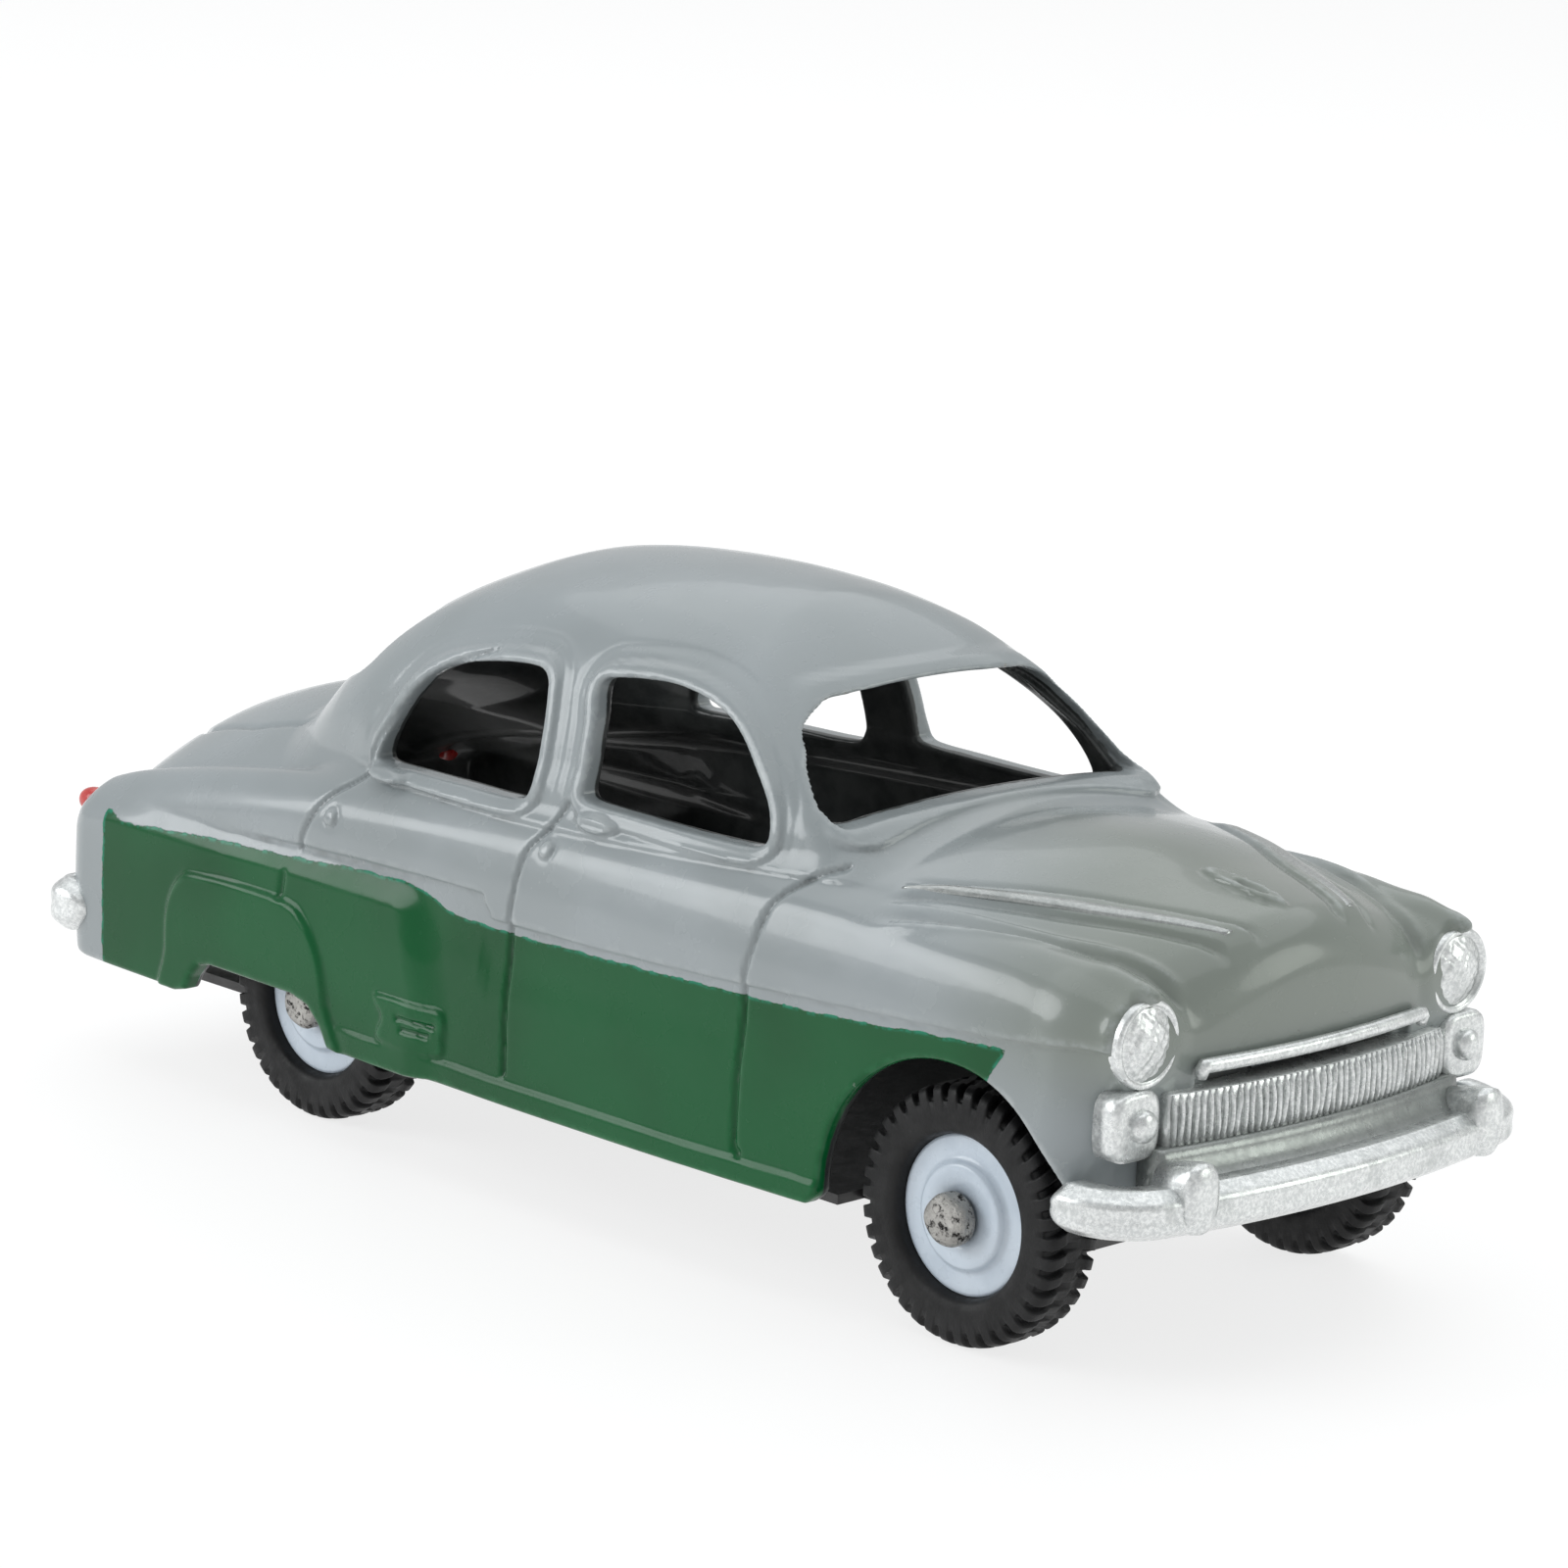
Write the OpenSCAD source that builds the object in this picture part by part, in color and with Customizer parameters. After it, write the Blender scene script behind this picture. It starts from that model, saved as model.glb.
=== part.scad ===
// Diecast toy saloon car, about 1:46. X runs to the front, Y to the car's left, Z up.
// The origin is on the ground under the middle of the car. All sizes are in millimetres.

/* [Wheels] */
// Distance between the two axles
wheelbase = 56.2; // [55:0.1:57.5]
// X position of the front axle
front_axle_x = 32.3; // [31.8:0.1:32.8]
// Outer radius of a tyre, which is also the axle height
tyre_r = 7.55; // [7.2:0.05:7.8]
// Width of a tyre
tyre_w = 4.0; // [3.4:0.1:4.2]
// Radius of a wheel hub
hub_r = 4.7; // [4.3:0.1:5]
// Outer face of a front hub, from the centre plane
front_track_y = 15.9; // [15.4:0.1:16.1]
// Outer face of a rear hub, from the centre plane
rear_track_y = 15.1; // [14.6:0.1:15.3]
// Radius of an axle
axle_r = 0.9; // [0.8:0.05:1]
// Radial clearance of each bearing and hub bore
running_fit = 0.06; // [0.03:0.01:0.1]

/* [Casting] */
// Wall thickness of the casting
wall = 1.3; // [1.1:0.1:1.5]
// Height of the sill above the ground
sill_z = 5.9; // [5.7:0.1:6.1]
// Sections along the outer skin between nose and tail
skin_sections = 38; // [24:1:44]
// Points on half a section of the outer skin
skin_points = 25; // [16:1:28]

/* [Baseplate] */
// Thickness of the tinplate base
plate_t = 0.6; // [0.4:0.05:0.7]
// Half width of the base between the axles
plate_half_w = 15.6; // [14.5:0.1:15.8]

/* [Trim] */
// Half width of the front bumper
bumper_half_w = 18.4; // [18:0.1:18.6]
// Number of ribs on the grille
grille_ribs = 34; // [10:1:45]

/* [Hidden] */
$fn = 48;
eps = 0.01;
rear_axle_x = front_axle_x - wheelbase;
axle_z = tyre_r;
plate_z = sill_z - 0.1;
plate_top = plate_z + plate_t;

// ---- Curves along the car: [x, value] ----
// Half width of the body side at its widest
plan_curve = [[-49, 16.2], [-45, 17], [-38, 17.6], [-28, 17.8], [-15, 17.7], [5, 17.6],
    [20, 17.6], [32, 17.5], [39, 17.2], [43, 16.7], [46, 16]];
// Height of bonnet and boot lid on the centre line
crown_curve = [[-49, 19], [-46, 20.8], [-43, 22.4], [-38, 24], [-32, 25], [-20, 25.6], [0, 26],
    [15, 26.3], [22, 26.6], [25, 26.8], [30, 26.7], [35, 25.8], [41, 25], [46, 24]];
// Half distance between the two valleys that part the wings from bonnet and boot lid
valley_y_curve = [[-49, 13], [-30, 13.4], [-20, 14], [0, 15.5], [20, 16.6], [25, 15.6],
    [30, 14.3], [35, 12.9], [39, 11.4], [42, 10.5], [46, 9.6]];
// Height of the valleys
valley_z_curve = [[-49, 14.5], [-43, 18.2], [-38, 19.6], [-30, 20.8], [-20, 22.2], [0, 23.4],
    [20, 23.9], [25, 23.9], [30, 23.6], [35, 23.3], [39, 23], [42, 22], [46, 20]];
// Height of the wing crowns
wing_z_curve = [[-49, 16.2], [-46, 17.6], [-43, 18.7], [-40, 19.5], [-35, 20.6], [-28, 21.8],
    [-20, 22.8], [0, 23.6], [20, 24.1], [28, 24.1], [35, 23.9], [39, 23.4], [42, 22.9], [46, 22]];
// Half distance between the wing crowns
wing_y_curve = [[-49, 15], [-30, 15.6], [0, 15.8], [20, 16.2], [30, 15.8], [36, 15.2],
    [42, 14.4], [46, 13.5]];
// Height of the roof on the centre line
roof_curve = [[-36, 23.5], [-33, 26.2], [-30, 28.9], [-26, 32], [-20, 34.9], [-13, 36.8],
    [-5, 37.6], [3, 37.5], [8, 36.8], [12, 35.8], [16, 34.5], [22, 32.2]];
// Half width of the cabin at its foot
cabin_w_curve = [[-36, 8], [-31, 10.8], [-27, 12.3], [-22, 13.5], [-15, 14.3], [-5, 14.8],
    [5, 14.8], [13, 14.6], [20, 14.1], [26, 13.4]];
// Back of the cabin on the centre line: [z, x]
backlight_curve = [[20, -38], [25, -33], [27, -31.2], [29, -29], [31, -26.6], [33, -23.8],
    [35, -20], [38, -14]];

function span(c, x, i = 0) = i >= len(c) - 2 || x < c[i + 1][0] ? i : span(c, x, i + 1);
function chord(a, b) = (b[1] - a[1]) / (b[0] - a[0]);
function slope(c, i) =
    i == 0 ? chord(c[0], c[1])
    : i == len(c) - 1 ? chord(c[i - 1], c[i])
    : chord(c[i - 1], c[i + 1]);
// Smooth curve through the points of c
function curve(c, x) =
    let (i = span(c, x), h = c[i + 1][0] - c[i][0], t = min(1, max(0, (x - c[i][0]) / h)))
    let (t2 = t * t, t3 = t2 * t)
    (2 * t3 - 3 * t2 + 1) * c[i][1] + (t3 - 2 * t2 + t) * h * slope(c, i)
    + (3 * t2 - 2 * t3) * c[i + 1][1] + (t3 - t2) * h * slope(c, i + 1);
// Meeting and joining of two half spaces, with the edge rounded to radius r
function round_max(a, b, r) =
    min(max(a, b), -r) + norm([max(a + r, 0), max(b + r, 0)]);
function round_min(a, b, r) = -round_max(-a, -b, r);

// ---- The outer skin as a signed distance: below 0 is inside ----
function station(x) = [curve(plan_curve, x), curve(crown_curve, x), curve(valley_y_curve, x),
    curve(valley_z_curve, x), curve(wing_z_curve, x), curve(wing_y_curve, x),
    curve(roof_curve, x), curve(cabin_w_curve, x)];
// Lower body: sides, wings, bonnet, boot, nose and tail
function lower_body(s, x, y, z) =
    let (tumblehome = 0.035 * pow(max(z - 17, 0), 2) + 0.003 * pow(min(z - 12, 0), 2))
    let (side = y - s[0] + tumblehome)
    let (bonnet = z - s[3] - (s[1] - s[3]) * (1 - pow(y / s[2], 1.9)))
    let (wing = z - s[4] + 0.09 * pow(y - s[5], 2))
    let (top = round_min(bonnet, wing, 0.5))
    let (nose = x - 44.2 + 0.0078 * y * y + 0.012 * pow(z - 19.5, 2))
    let (tail = -x - 48.1 + 0.0085 * y * y + 0.01 * pow(z - 12, 2))
    round_max(round_max(round_max(side, top, 2.6), nose, 2.8), tail, 3.2);
// Cabin: sides, roof, windscreen and back
function cabin(s, x, y, z) =
    let (lean = 0.17 * (z - 24.5) + 0.018 * pow(max(z - 24.5, 0), 2))
    let (side = y - s[7] + lean)
    let (roof = z - s[6] + y * y / 38)
    let (screen = (x - 19.5 + 1.087 * (z - 27.36) + 0.004 * y * y) / 1.48)
    let (back = (curve(backlight_curve, z) + 0.03 * y * y - x) / 1.3)
    round_max(round_max(round_max(side, roof, 2.5), screen, 2.2), back, 2.5);
function skin(s, x, y, z) = round_min(lower_body(s, x, y, z), cabin(s, x, y, z), 1.6);

// ---- Sections: rays from a spine inside the body, solved by halving ----
spine_curve = [[-49, 12], [-44, 15], [39, 15], [44.2, 19.5]];
function ray_hit(s, x, sz, a, inset, floor_z, lo = 0, hi = 30, n = 13) =
    n == 0 ? (lo + hi) / 2
    : let (r = (lo + hi) / 2, y = r * cos(a), z = sz + r * sin(a))
      max(skin(s, x, y, z) + inset, floor_z - z) < 0
        ? ray_hit(s, x, sz, a, inset, floor_z, r, hi, n - 1)
        : ray_hit(s, x, sz, a, inset, floor_z, lo, r, n - 1);
function half_section(x, n, inset, floor_z) =
    let (s = station(x), sz = lookup(x, spine_curve))
    [for (k = [0:n - 1])
        let (a = -62 + 152 * k / (n - 1), r = ray_hit(s, x, sz, a, inset, floor_z))
        [x, r * cos(a), sz + r * sin(a)]];
function full_section(h) =
    let (n = len(h))
    concat(h, [for (k = [n - 2:-1:0]) [h[k][0], -h[k][1], h[k][2]]]);
// Section positions crowd towards both ends, where the skin turns fastest
function section_x(i, n, x0, x1) = (x0 + x1) / 2 - (x1 - x0) / 2 * cos(180 * i / n);

module loft(x0, x1, sections, n, inset, floor_z) {
    rings = [for (i = [0:sections])
        full_section(half_section(section_x(i, sections, x0, x1), n, inset, floor_z))];
    m = 2 * n - 1;
    points = [for (r = rings) each r];
    sides = [for (i = [0:sections - 1], k = [0:m - 1]) let (k2 = (k + 1) % m)
        each [[i * m + k, (i + 1) * m + k, i * m + k2], [i * m + k2, (i + 1) * m + k, (i + 1) * m + k2]]];
    back_cap = [[for (k = [0:m - 1]) k]];
    front_cap = [[for (k = [m - 1:-1:0]) sections * m + k]];
    polyhedron(points, concat(sides, back_cap, front_cap));
}

// ---- Outlines ----
// Convex outline with rounded corners; each corner is [x, z, radius of its own circle]
module rounded_outline(corners) {
    hull()
        for (c = corners)
            translate([c[0], c[1]])
                circle(c[2], $fn = 16);
}
// Plain outline with its four corners cut at 45 degrees
module chamfered_box(x0, x1, z0, z1, c) {
    polygon([[x0 + c, z0], [x1 - c, z0], [x1, z0 + c], [x1, z1 - c], [x1 - c, z1], [x0 + c, z1],
        [x0, z1 - c], [x0, z0 + c]]);
}
// Draws an X-Z outline right across the car
module across(half_w = 25) {
    rotate([90, 0, 0])
        linear_extrude(2 * half_w, center = true)
            children();
}
// Draws a Y-Z outline from x0 to x1
module along(x0, x1) {
    translate([x0, 0, 0])
        rotate([90, 0, 90])
            linear_extrude(x1 - x0)
                children();
}
module left_and_right() {
    children();
    mirror([0, 1, 0]) children();
}

// ---- Body casting ----
arch_r = 8.9;
arch_z = 7.4;
arch_x = front_axle_x - 0.4;
spat_z = 7.2;
// Everything below the lower edge of the casting, with both wheel openings
module underside_outline() {
    polygon([[-60, -1], [-60, 6.8], [-36.5, 6.4], [-34, 6.8], [-33, spat_z], [-22, spat_z],
        [-20.4, sill_z], [22.4, sill_z], [22.9, 6.4], [22.9, arch_z], [41, 9.2], [60, 9.2], [60, -1]]);
    hull()
        for (x = [arch_x - 0.2, arch_x + 0.2])
            translate([x, arch_z])
                circle(arch_r, $fn = 40);
    hull()
        for (x = [-32, -22.6])
            translate([x, spat_z])
                circle(1.4, $fn = 16);
}
// Window openings, as corner circles in the side view or the front view
rear_window = [[-18.9, 24.4, 0.6], [-5.8, 25, 0.95], [-6.6, 30.6, 1], [-9.5, 30, 1.5],
    [-13.2, 28.2, 2.6], [-15.6, 27.2, 2.4]];
front_window = [[0.45, 25.9, 1], [14, 25.85, 0.9], [10.4, 27.6, 2.7], [6.6, 29.2, 3],
    [3.5, 29.5, 2.95], [-0.6, 31.1, 0.95]];
windscreen = [[-12, 27.7, 0.7], [12, 27.7, 0.7], [9.6, 30.9, 1.9], [0, 31.3, 1.9], [-9.6, 30.9, 1.9]];
backlight = [[-9.4, 28.3, 1.1], [9.4, 28.3, 1.1], [7.6, 30, 1.6], [-7.6, 30, 1.6]];
post_x = [front_axle_x - 4.8, -39];
post_r = 2.2;
rivet_r = 1;
rivet_bore_top = 10.5;
// Post cast inside the shell, from the skin down to the baseplate
module cast_post(x, top_z) {
    foot_z = plate_top + 0.62;
    translate([x, 0, foot_z])
        hull() {
            cylinder(r = post_r, h = 1, $fn = 20);
            cylinder(r = post_r + 0.5, h = top_z - foot_z, $fn = 20);
        }
}
module body_casting() {
    color("#aab1b3")
    difference() {
        union() {
            difference() {
                loft(-48, 44.1, skin_sections, skin_points, 0, 2);
                loft(-46.5, 42.6, 22, 17, wall, 0);
                across() underside_outline();
                across() rounded_outline(rear_window);
                across() rounded_outline(front_window);
                along(8, 24) rounded_outline(windscreen);
                along(-36, -20) rounded_outline(backlight);
            }
            cast_post(post_x[0], 26.1);
            cast_post(post_x[1], 22.9);
        }
        for (x = post_x)
            translate([x, 0, 0])
                cylinder(r = rivet_r, h = rivet_bore_top, $fn = 20);
        translate([42.8, -9.4, 9])
            cube([8, 18.8, 8.7]);
        // Reliefs inside the rear wheel covers, clear of the axle heads
        translate([rear_axle_x, 0, axle_z])
            rotate([90, 0, 0])
                cylinder(r = head_r + 0.6, h = 2 * (rear_track_y + head_gap + head_h + 0.25), center = true);
    }
}
// ---- Trim: relief of the casting that carries its own paint ----
bumper_z0 = 9.3;
bumper_z1 = 11.9;
bumper_depth = 2.3;
bumper_edge = 0.8;
// Section of a bumper between two heights: [distance behind its face, height]
function bumper_section(z0, z1) =
    let (c = bumper_edge, d = bumper_depth)
    [[d, z0], [c, z0], [c * 0.3, z0 + c * 0.3], [0, z0 + c], [0, z1 - c],
    [c * 0.3, z1 - c * 0.3], [c, z1], [d, z1]];
// Plan of a bumper that looks along +X: [x, y, angle of its face] at each section
function bumper_path(face_x, half_w, main_r, corner_r, end_len) =
    let (a = asin((half_w - corner_r) / (main_r - corner_r)), main_x = face_x - main_r)
    let (cx = main_x + (main_r - corner_r) * cos(a), cy = (main_r - corner_r) * sin(a))
    let (half = concat(
        [for (k = [0:5]) let (b = a * k / 5) [main_x + main_r * cos(b), main_r * sin(b), b]],
        [for (k = [1:7]) let (b = a + (90 - a) * k / 7)
            [cx + corner_r * cos(b), cy + corner_r * sin(b), b]],
        [[cx - end_len, cy + corner_r, 90]]))
    concat([for (k = [len(half) - 1:-1:1]) [half[k][0], -half[k][1], -half[k][2]]], half);
module bumper_bar(z0, z1, path) {
    section = bumper_section(z0, z1);
    m = len(section);
    n = len(path);
    points = [for (p = path, q = section)
        [p[0] - q[0] * cos(p[2]), p[1] - q[0] * sin(p[2]), q[1]]];
    walls = [for (i = [0:n - 2], k = [0:m - 1]) let (k2 = (k + 1) % m)
        each [[i * m + k, i * m + k2, (i + 1) * m + k], [i * m + k2, (i + 1) * m + k2, (i + 1) * m + k]]];
    polyhedron(points, concat(walls, [[for (k = [m - 1:-1:0]) k]],
        [[for (k = [0:m - 1]) (n - 1) * m + k]]));
}
overrider_r = 1.25;
// Upright rounded block on the face of a bumper
module overrider(x, y, z0, top_z) {
    translate([x, y, z0]) {
        cylinder(r = overrider_r, h = top_z - z0 - overrider_r);
        translate([0, 0, top_z - z0 - overrider_r])
            sphere(r = overrider_r);
    }
}
bumper_x = 48.2;
front_bumper_r = 75;
front_corner_r = 5;
// Ledge that carries a bumper on the casting
module bumper_shelf(main_r, from_x, half_w) {
    intersection() {
        translate([bumper_x - main_r, 0, shelf_z])
            cylinder(r = main_r - 1.2, h = shelf_h, $fn = 180);
        translate([from_x, -half_w, shelf_z - 0.2])
            cube([6, 2 * half_w, shelf_h + 1]);
    }
}
shelf_z = 10.2;
shelf_h = 1.45;
module front_bumper() {
    color("#c9ced0") {
        bumper_bar(bumper_z0, bumper_z1,
            bumper_path(bumper_x, bumper_half_w, front_bumper_r, front_corner_r, 0.3));
        left_and_right()
            overrider(46.1, 12.5, bumper_z0 + 0.3, 13.7);
        bumper_shelf(front_bumper_r, 42.2, 15.2);
    }
}
rear_bumper_z0 = 7.9;
rear_bumper_z1 = 11.4;
rear_bumper_r = 170;
rear_corner_r = 2.6;
module rear_bumper() {
    color("#c9ced0")
        mirror([1, 0, 0]) {
            bumper_bar(rear_bumper_z0, rear_bumper_z1,
                bumper_path(bumper_x, bumper_half_w - 0.2, rear_bumper_r, rear_corner_r, 0.6));
            left_and_right()
                overrider(bumper_x - 1.4, 11.8, rear_bumper_z0 + 0.3, 13.2);
            bumper_shelf(rear_bumper_r, 44, 14.8);
        }
}
grille_r = 62;
grille_x = 45.3;
grille_z0 = 13.5;
grille_z1 = 16.6;
grille_half_w = 11.9;
lamp_y = 14.3;
sidelamp_z = 15.2;
module sector_box(r0, r1, half_w, z0, z1) {
    a = asin(half_w / r1);
    rotate([0, 0, -a])
        rotate_extrude(angle = 2 * a, $fn = 180)
            translate([r0, z0])
                square([r1 - r0, z1 - z0]);
}
module grille() {
    rib_w = 0.32;
    color("#b9bfc0") {
        translate([grille_x - grille_r, 0, 0]) {
            sector_box(grille_r - 2.9, grille_r - 0.35, grille_half_w, grille_z0, grille_z1);
            for (i = [0:grille_ribs - 1])
                let (y = grille_half_w * (2 * (i + 0.5) / grille_ribs - 1))
                rotate([0, 0, asin(y / grille_r)])
                    translate([grille_r - 0.6, -rib_w / 2, grille_z0 + 0.15])
                        cube([0.6, rib_w, grille_z1 - grille_z0 - 0.3]);
        }
        left_and_right()
            difference() {
                translate([41.5, lamp_y, sidelamp_z])
                    rotate([0, 90, 0])
                        linear_extrude(2.3)
                            chamfered_box(-1.9, 1.7, -2.6, 2.1, 0.8);
                // Seat of the sidelamp
                translate([43.35, lamp_y - 0.2, sidelamp_z])
                    rotate([0, 90, 0])
                        cylinder(r = 1, h = 1);
            }
    }
}
module grille_bar() {
    bar_r = 0.45;
    bar_half_w = 9.6;
    a = asin(bar_half_w / grille_r);
    color("#c9ced0") {
        translate([grille_x - 0.55 - grille_r, 0, 17.9]) {
            rotate([0, 0, -a])
                rotate_extrude(angle = 2 * a, $fn = 180)
                    translate([grille_r, 0])
                        circle(bar_r, $fn = 20);
            translate([0, 0, -0.35])
                sector_box(grille_r - 2.2, grille_r - 0.1, bar_half_w, 0, 0.5);
        }
        left_and_right()
            translate([grille_x - 0.55 - grille_r * (1 - cos(a)), bar_half_w, 17.2])
                cylinder(r = bar_r, h = 0.9, $fn = 20);
    }
}
headlamp_y = 13.5;
headlamp_z = 19.6;
headlamp_r = 2.55;
module headlamp() {
    color("#d6dadb")
        translate([39.6, headlamp_y, headlamp_z])
            rotate([0, 90, 0])
                rotate_extrude($fn = 64)
                    polygon([[0, 0], [headlamp_r, 0], [headlamp_r, 3.6], [2.4, 3.95], [2.2, 3.95], [2.1, 3.75],
                        for (a = [75:-15:0]) [2.1 * sin(a), 3.75 + 0.55 * cos(a)]]);
}
module sidelamp() {
    color("#d6dadb")
        translate([43.4, lamp_y - 0.2, sidelamp_z])
            rotate([0, 90, 0])
                rotate_extrude()
                    polygon([[0, 0], [0.95, 0], [0.95, 0.55], [0.75, 0.75], [0.55, 0.75], [0.45, 1],
                        [0, 1.1]]);
}
module tail_lamp() {
    color("#b3261c")
        translate([-46.9, 14.9, 16.1])
            rotate([0, -90, 0])
                rotate_extrude()
                    polygon([[0, -1.6], [0.9, -1.6], [0.9, 0.1], [0.75, 0.55], [0.4, 0.8], [0, 0.9]]);
}
module headlamp_left() headlamp();
module headlamp_right() mirror([0, 1, 0]) headlamp();
module sidelamp_left() sidelamp();
module sidelamp_right() mirror([0, 1, 0]) sidelamp();
module tail_lamp_left() tail_lamp();
module tail_lamp_right() mirror([0, 1, 0]) tail_lamp();

// Tapering flute that lies along the bonnet: [x, y] from the cowl to the nose
flute_curve = [[24.5, 13.6], [30, 11], [35, 8.5], [40, 6.1], [42, 5]];
function skin_z(x, y) =
    let (s = station(x), t = y / s[2])
    s[3] + (s[1] - s[3]) * (1 - pow(t, 1.9));
module bonnet_flute() {
    steps = 14;
    sides = 8;
    rings = [for (i = [0:steps])
        let (u = i / steps, x = 24.5 + 17.3 * u, y = curve(flute_curve, x))
        let (w = 0.12 + 0.75 * pow(sin(165 * u), 0.7), z = skin_z(x, y))
        [for (k = [0:sides - 1]) let (a = 360 * k / sides)
            [x, y + w * cos(a), z - 0.05 + (sin(a) > 0 ? 0.42 : 0.5) * min(1, 2 * w) * sin(a)]]];
    points = [for (r = rings) each r];
    walls = [for (i = [0:steps - 1], k = [0:sides - 1]) let (k2 = (k + 1) % sides)
        each [[i * sides + k, (i + 1) * sides + k, i * sides + k2],
            [i * sides + k2, (i + 1) * sides + k, (i + 1) * sides + k2]]];
    color("#8f979b")
        polyhedron(points, concat(walls, [[for (k = [0:sides - 1]) k]],
            [[for (k = [sides - 1:-1:0]) steps * sides + k]]));
}
module bonnet_flute_left() bonnet_flute();
module bonnet_flute_right() mirror([0, 1, 0]) bonnet_flute();

// ---- Baseplate ----
ear_y = 10.2;
ear_t = 0.6;
ear_half_w = 2;
ear_top = 9.4;
dimple_r = 2.6;
dimple_h = 0.6;
plate_front_x = 37.4;
plate_back_x = -43.5;
wheel_gap = 8.8;
module plate_outline() {
    difference() {
        chamfered_box(plate_back_x, plate_front_x, -13.4, 13.4, 2);
        for (x = [front_axle_x, rear_axle_x], s = [-1, 1])
            translate([x - wheel_gap, s > 0 ? ear_y + ear_t : -25])
                square([2 * wheel_gap, 25 - ear_y - ear_t]);
    }
    middle_x0 = rear_axle_x + wheel_gap;
    middle_x1 = front_axle_x - wheel_gap;
    translate([middle_x0, -plate_half_w])
        square([middle_x1 - middle_x0 - 0.9, 2 * plate_half_w]);
}
// Tab folded up from the plate, with the bearing hole for an axle
module axle_ear(x) {
    translate([x, ear_y + ear_t, 0])
        rotate([90, 0, 0])
            linear_extrude(ear_t) {
                translate([-ear_half_w, plate_top - eps])
                    square([2 * ear_half_w, axle_z - plate_top]);
                translate([0, axle_z])
                    circle(ear_half_w);
            }
}
module baseplate() {
    color("#1c1c1e")
    difference() {
        union() {
            translate([0, 0, plate_z])
                linear_extrude(plate_t)
                    plate_outline();
            left_and_right() {
                axle_ear(front_axle_x);
                axle_ear(rear_axle_x);
            }
            for (x = post_x)
                translate([x, 0, plate_z])
                    cylinder(r = dimple_r + plate_t, h = plate_t + dimple_h);
        }
        for (x = post_x)
            translate([x, 0, plate_z - 1]) {
                cylinder(r = dimple_r, h = 1 + dimple_h);
                cylinder(r = rivet_r + 0.05, h = 5);
            }
        for (x = [front_axle_x, rear_axle_x])
            translate([x, 0, axle_z])
                rotate([90, 0, 0])
                    cylinder(r = axle_r + running_fit, h = 40, center = true);
    }
}
module base_rivet(x) {
    head_r = 1.9;
    color("#9b9da0")
        translate([x, 0, plate_z])
            rotate_extrude()
                polygon([[0, 0.06], [head_r - 0.5, 0.06], [head_r - 0.1, 0.25], [head_r, dimple_h],
                    [rivet_r, dimple_h], [rivet_r, 4.4], [0, 4.4]]);
}
module base_rivet_front() base_rivet(post_x[0]);
module base_rivet_rear() base_rivet(post_x[1]);

// ---- Axles and wheels ----
head_gap = 0.15;
head_h = 1.45;
head_r = 1.65;
// Steel rod with a domed head formed at each end
module axle(x, track_y) {
    end_y = track_y + head_gap;
    color("#a9a7a2")
        translate([x, 0, axle_z])
            rotate([90, 0, 0])
                rotate_extrude()
                    polygon([[0, -end_y - head_h], [head_r * 0.7, -end_y - head_h],
                        [head_r, -end_y - head_h * 0.55], [head_r, -end_y], [axle_r, -end_y],
                        [axle_r, end_y], [head_r, end_y], [head_r, end_y + head_h * 0.55],
                        [head_r * 0.7, end_y + head_h], [0, end_y + head_h]]);
}
module front_axle() axle(front_axle_x, front_track_y);
module rear_axle() axle(rear_axle_x, rear_track_y);

tyre_proud = 0.4;
seat_r = hub_r - 0.5;
// Cast hub: outer disc with a raised centre, tyre seat, back flange and inner boss
module hub(x, track_y) {
    back = tyre_w - 2 * tyre_proud;
    boss = track_y - ear_y - ear_t - 0.35;
    bore = axle_r + running_fit;
    color("#c3ccd4")
        translate([x, track_y, axle_z])
            rotate([90, 0, 0])
                rotate_extrude($fn = 64)
                    polygon([[bore, 0], [2.9, 0], [3.05, 0.15], [3.1, 0.4], [4.35, 0.55], [hub_r, 0.45],
                        [hub_r, 0.9], [seat_r, 1.1], [seat_r, back - 0.3], [hub_r - 0.1, back - 0.1],
                        [hub_r - 0.1, back], [2.2, back], [2, boss], [bore, boss]]);
}
// Solid rubber tyre with rounded shoulders, stretched over the hub
module tyre(x, track_y) {
    shoulder = 1.2;
    color("#222224")
        translate([x, track_y + tyre_proud, axle_z])
            rotate([90, 0, 0])
                rotate_extrude($fn = 96)
                    polygon([[hub_r + 0.03, 0.15], [hub_r + 0.5, 0],
                        for (a = [0:22.5:90]) [tyre_r - shoulder + shoulder * sin(a), shoulder * (1 - cos(a))],
                        for (a = [90:-22.5:0])
                            [tyre_r - shoulder + shoulder * sin(a), tyre_w - shoulder * (1 - cos(a))],
                        [hub_r + 0.5, tyre_w], [hub_r + 0.03, tyre_w - 0.15],
                        [hub_r + 0.03, tyre_w - tyre_proud - 0.35], [seat_r + 0.03, tyre_w - tyre_proud - 0.6],
                        [seat_r + 0.03, tyre_proud + 1.2], [hub_r + 0.03, tyre_proud + 1]]);
}
module hub_front_left() hub(front_axle_x, front_track_y);
module hub_front_right() mirror([0, 1, 0]) hub(front_axle_x, front_track_y);
module hub_rear_left() hub(rear_axle_x, rear_track_y);
module hub_rear_right() mirror([0, 1, 0]) hub(rear_axle_x, rear_track_y);
module tyre_front_left() tyre(front_axle_x, front_track_y);
module tyre_front_right() mirror([0, 1, 0]) tyre(front_axle_x, front_track_y);
module tyre_rear_left() tyre(rear_axle_x, rear_track_y);
module tyre_rear_right() mirror([0, 1, 0]) tyre(rear_axle_x, rear_track_y);

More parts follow.
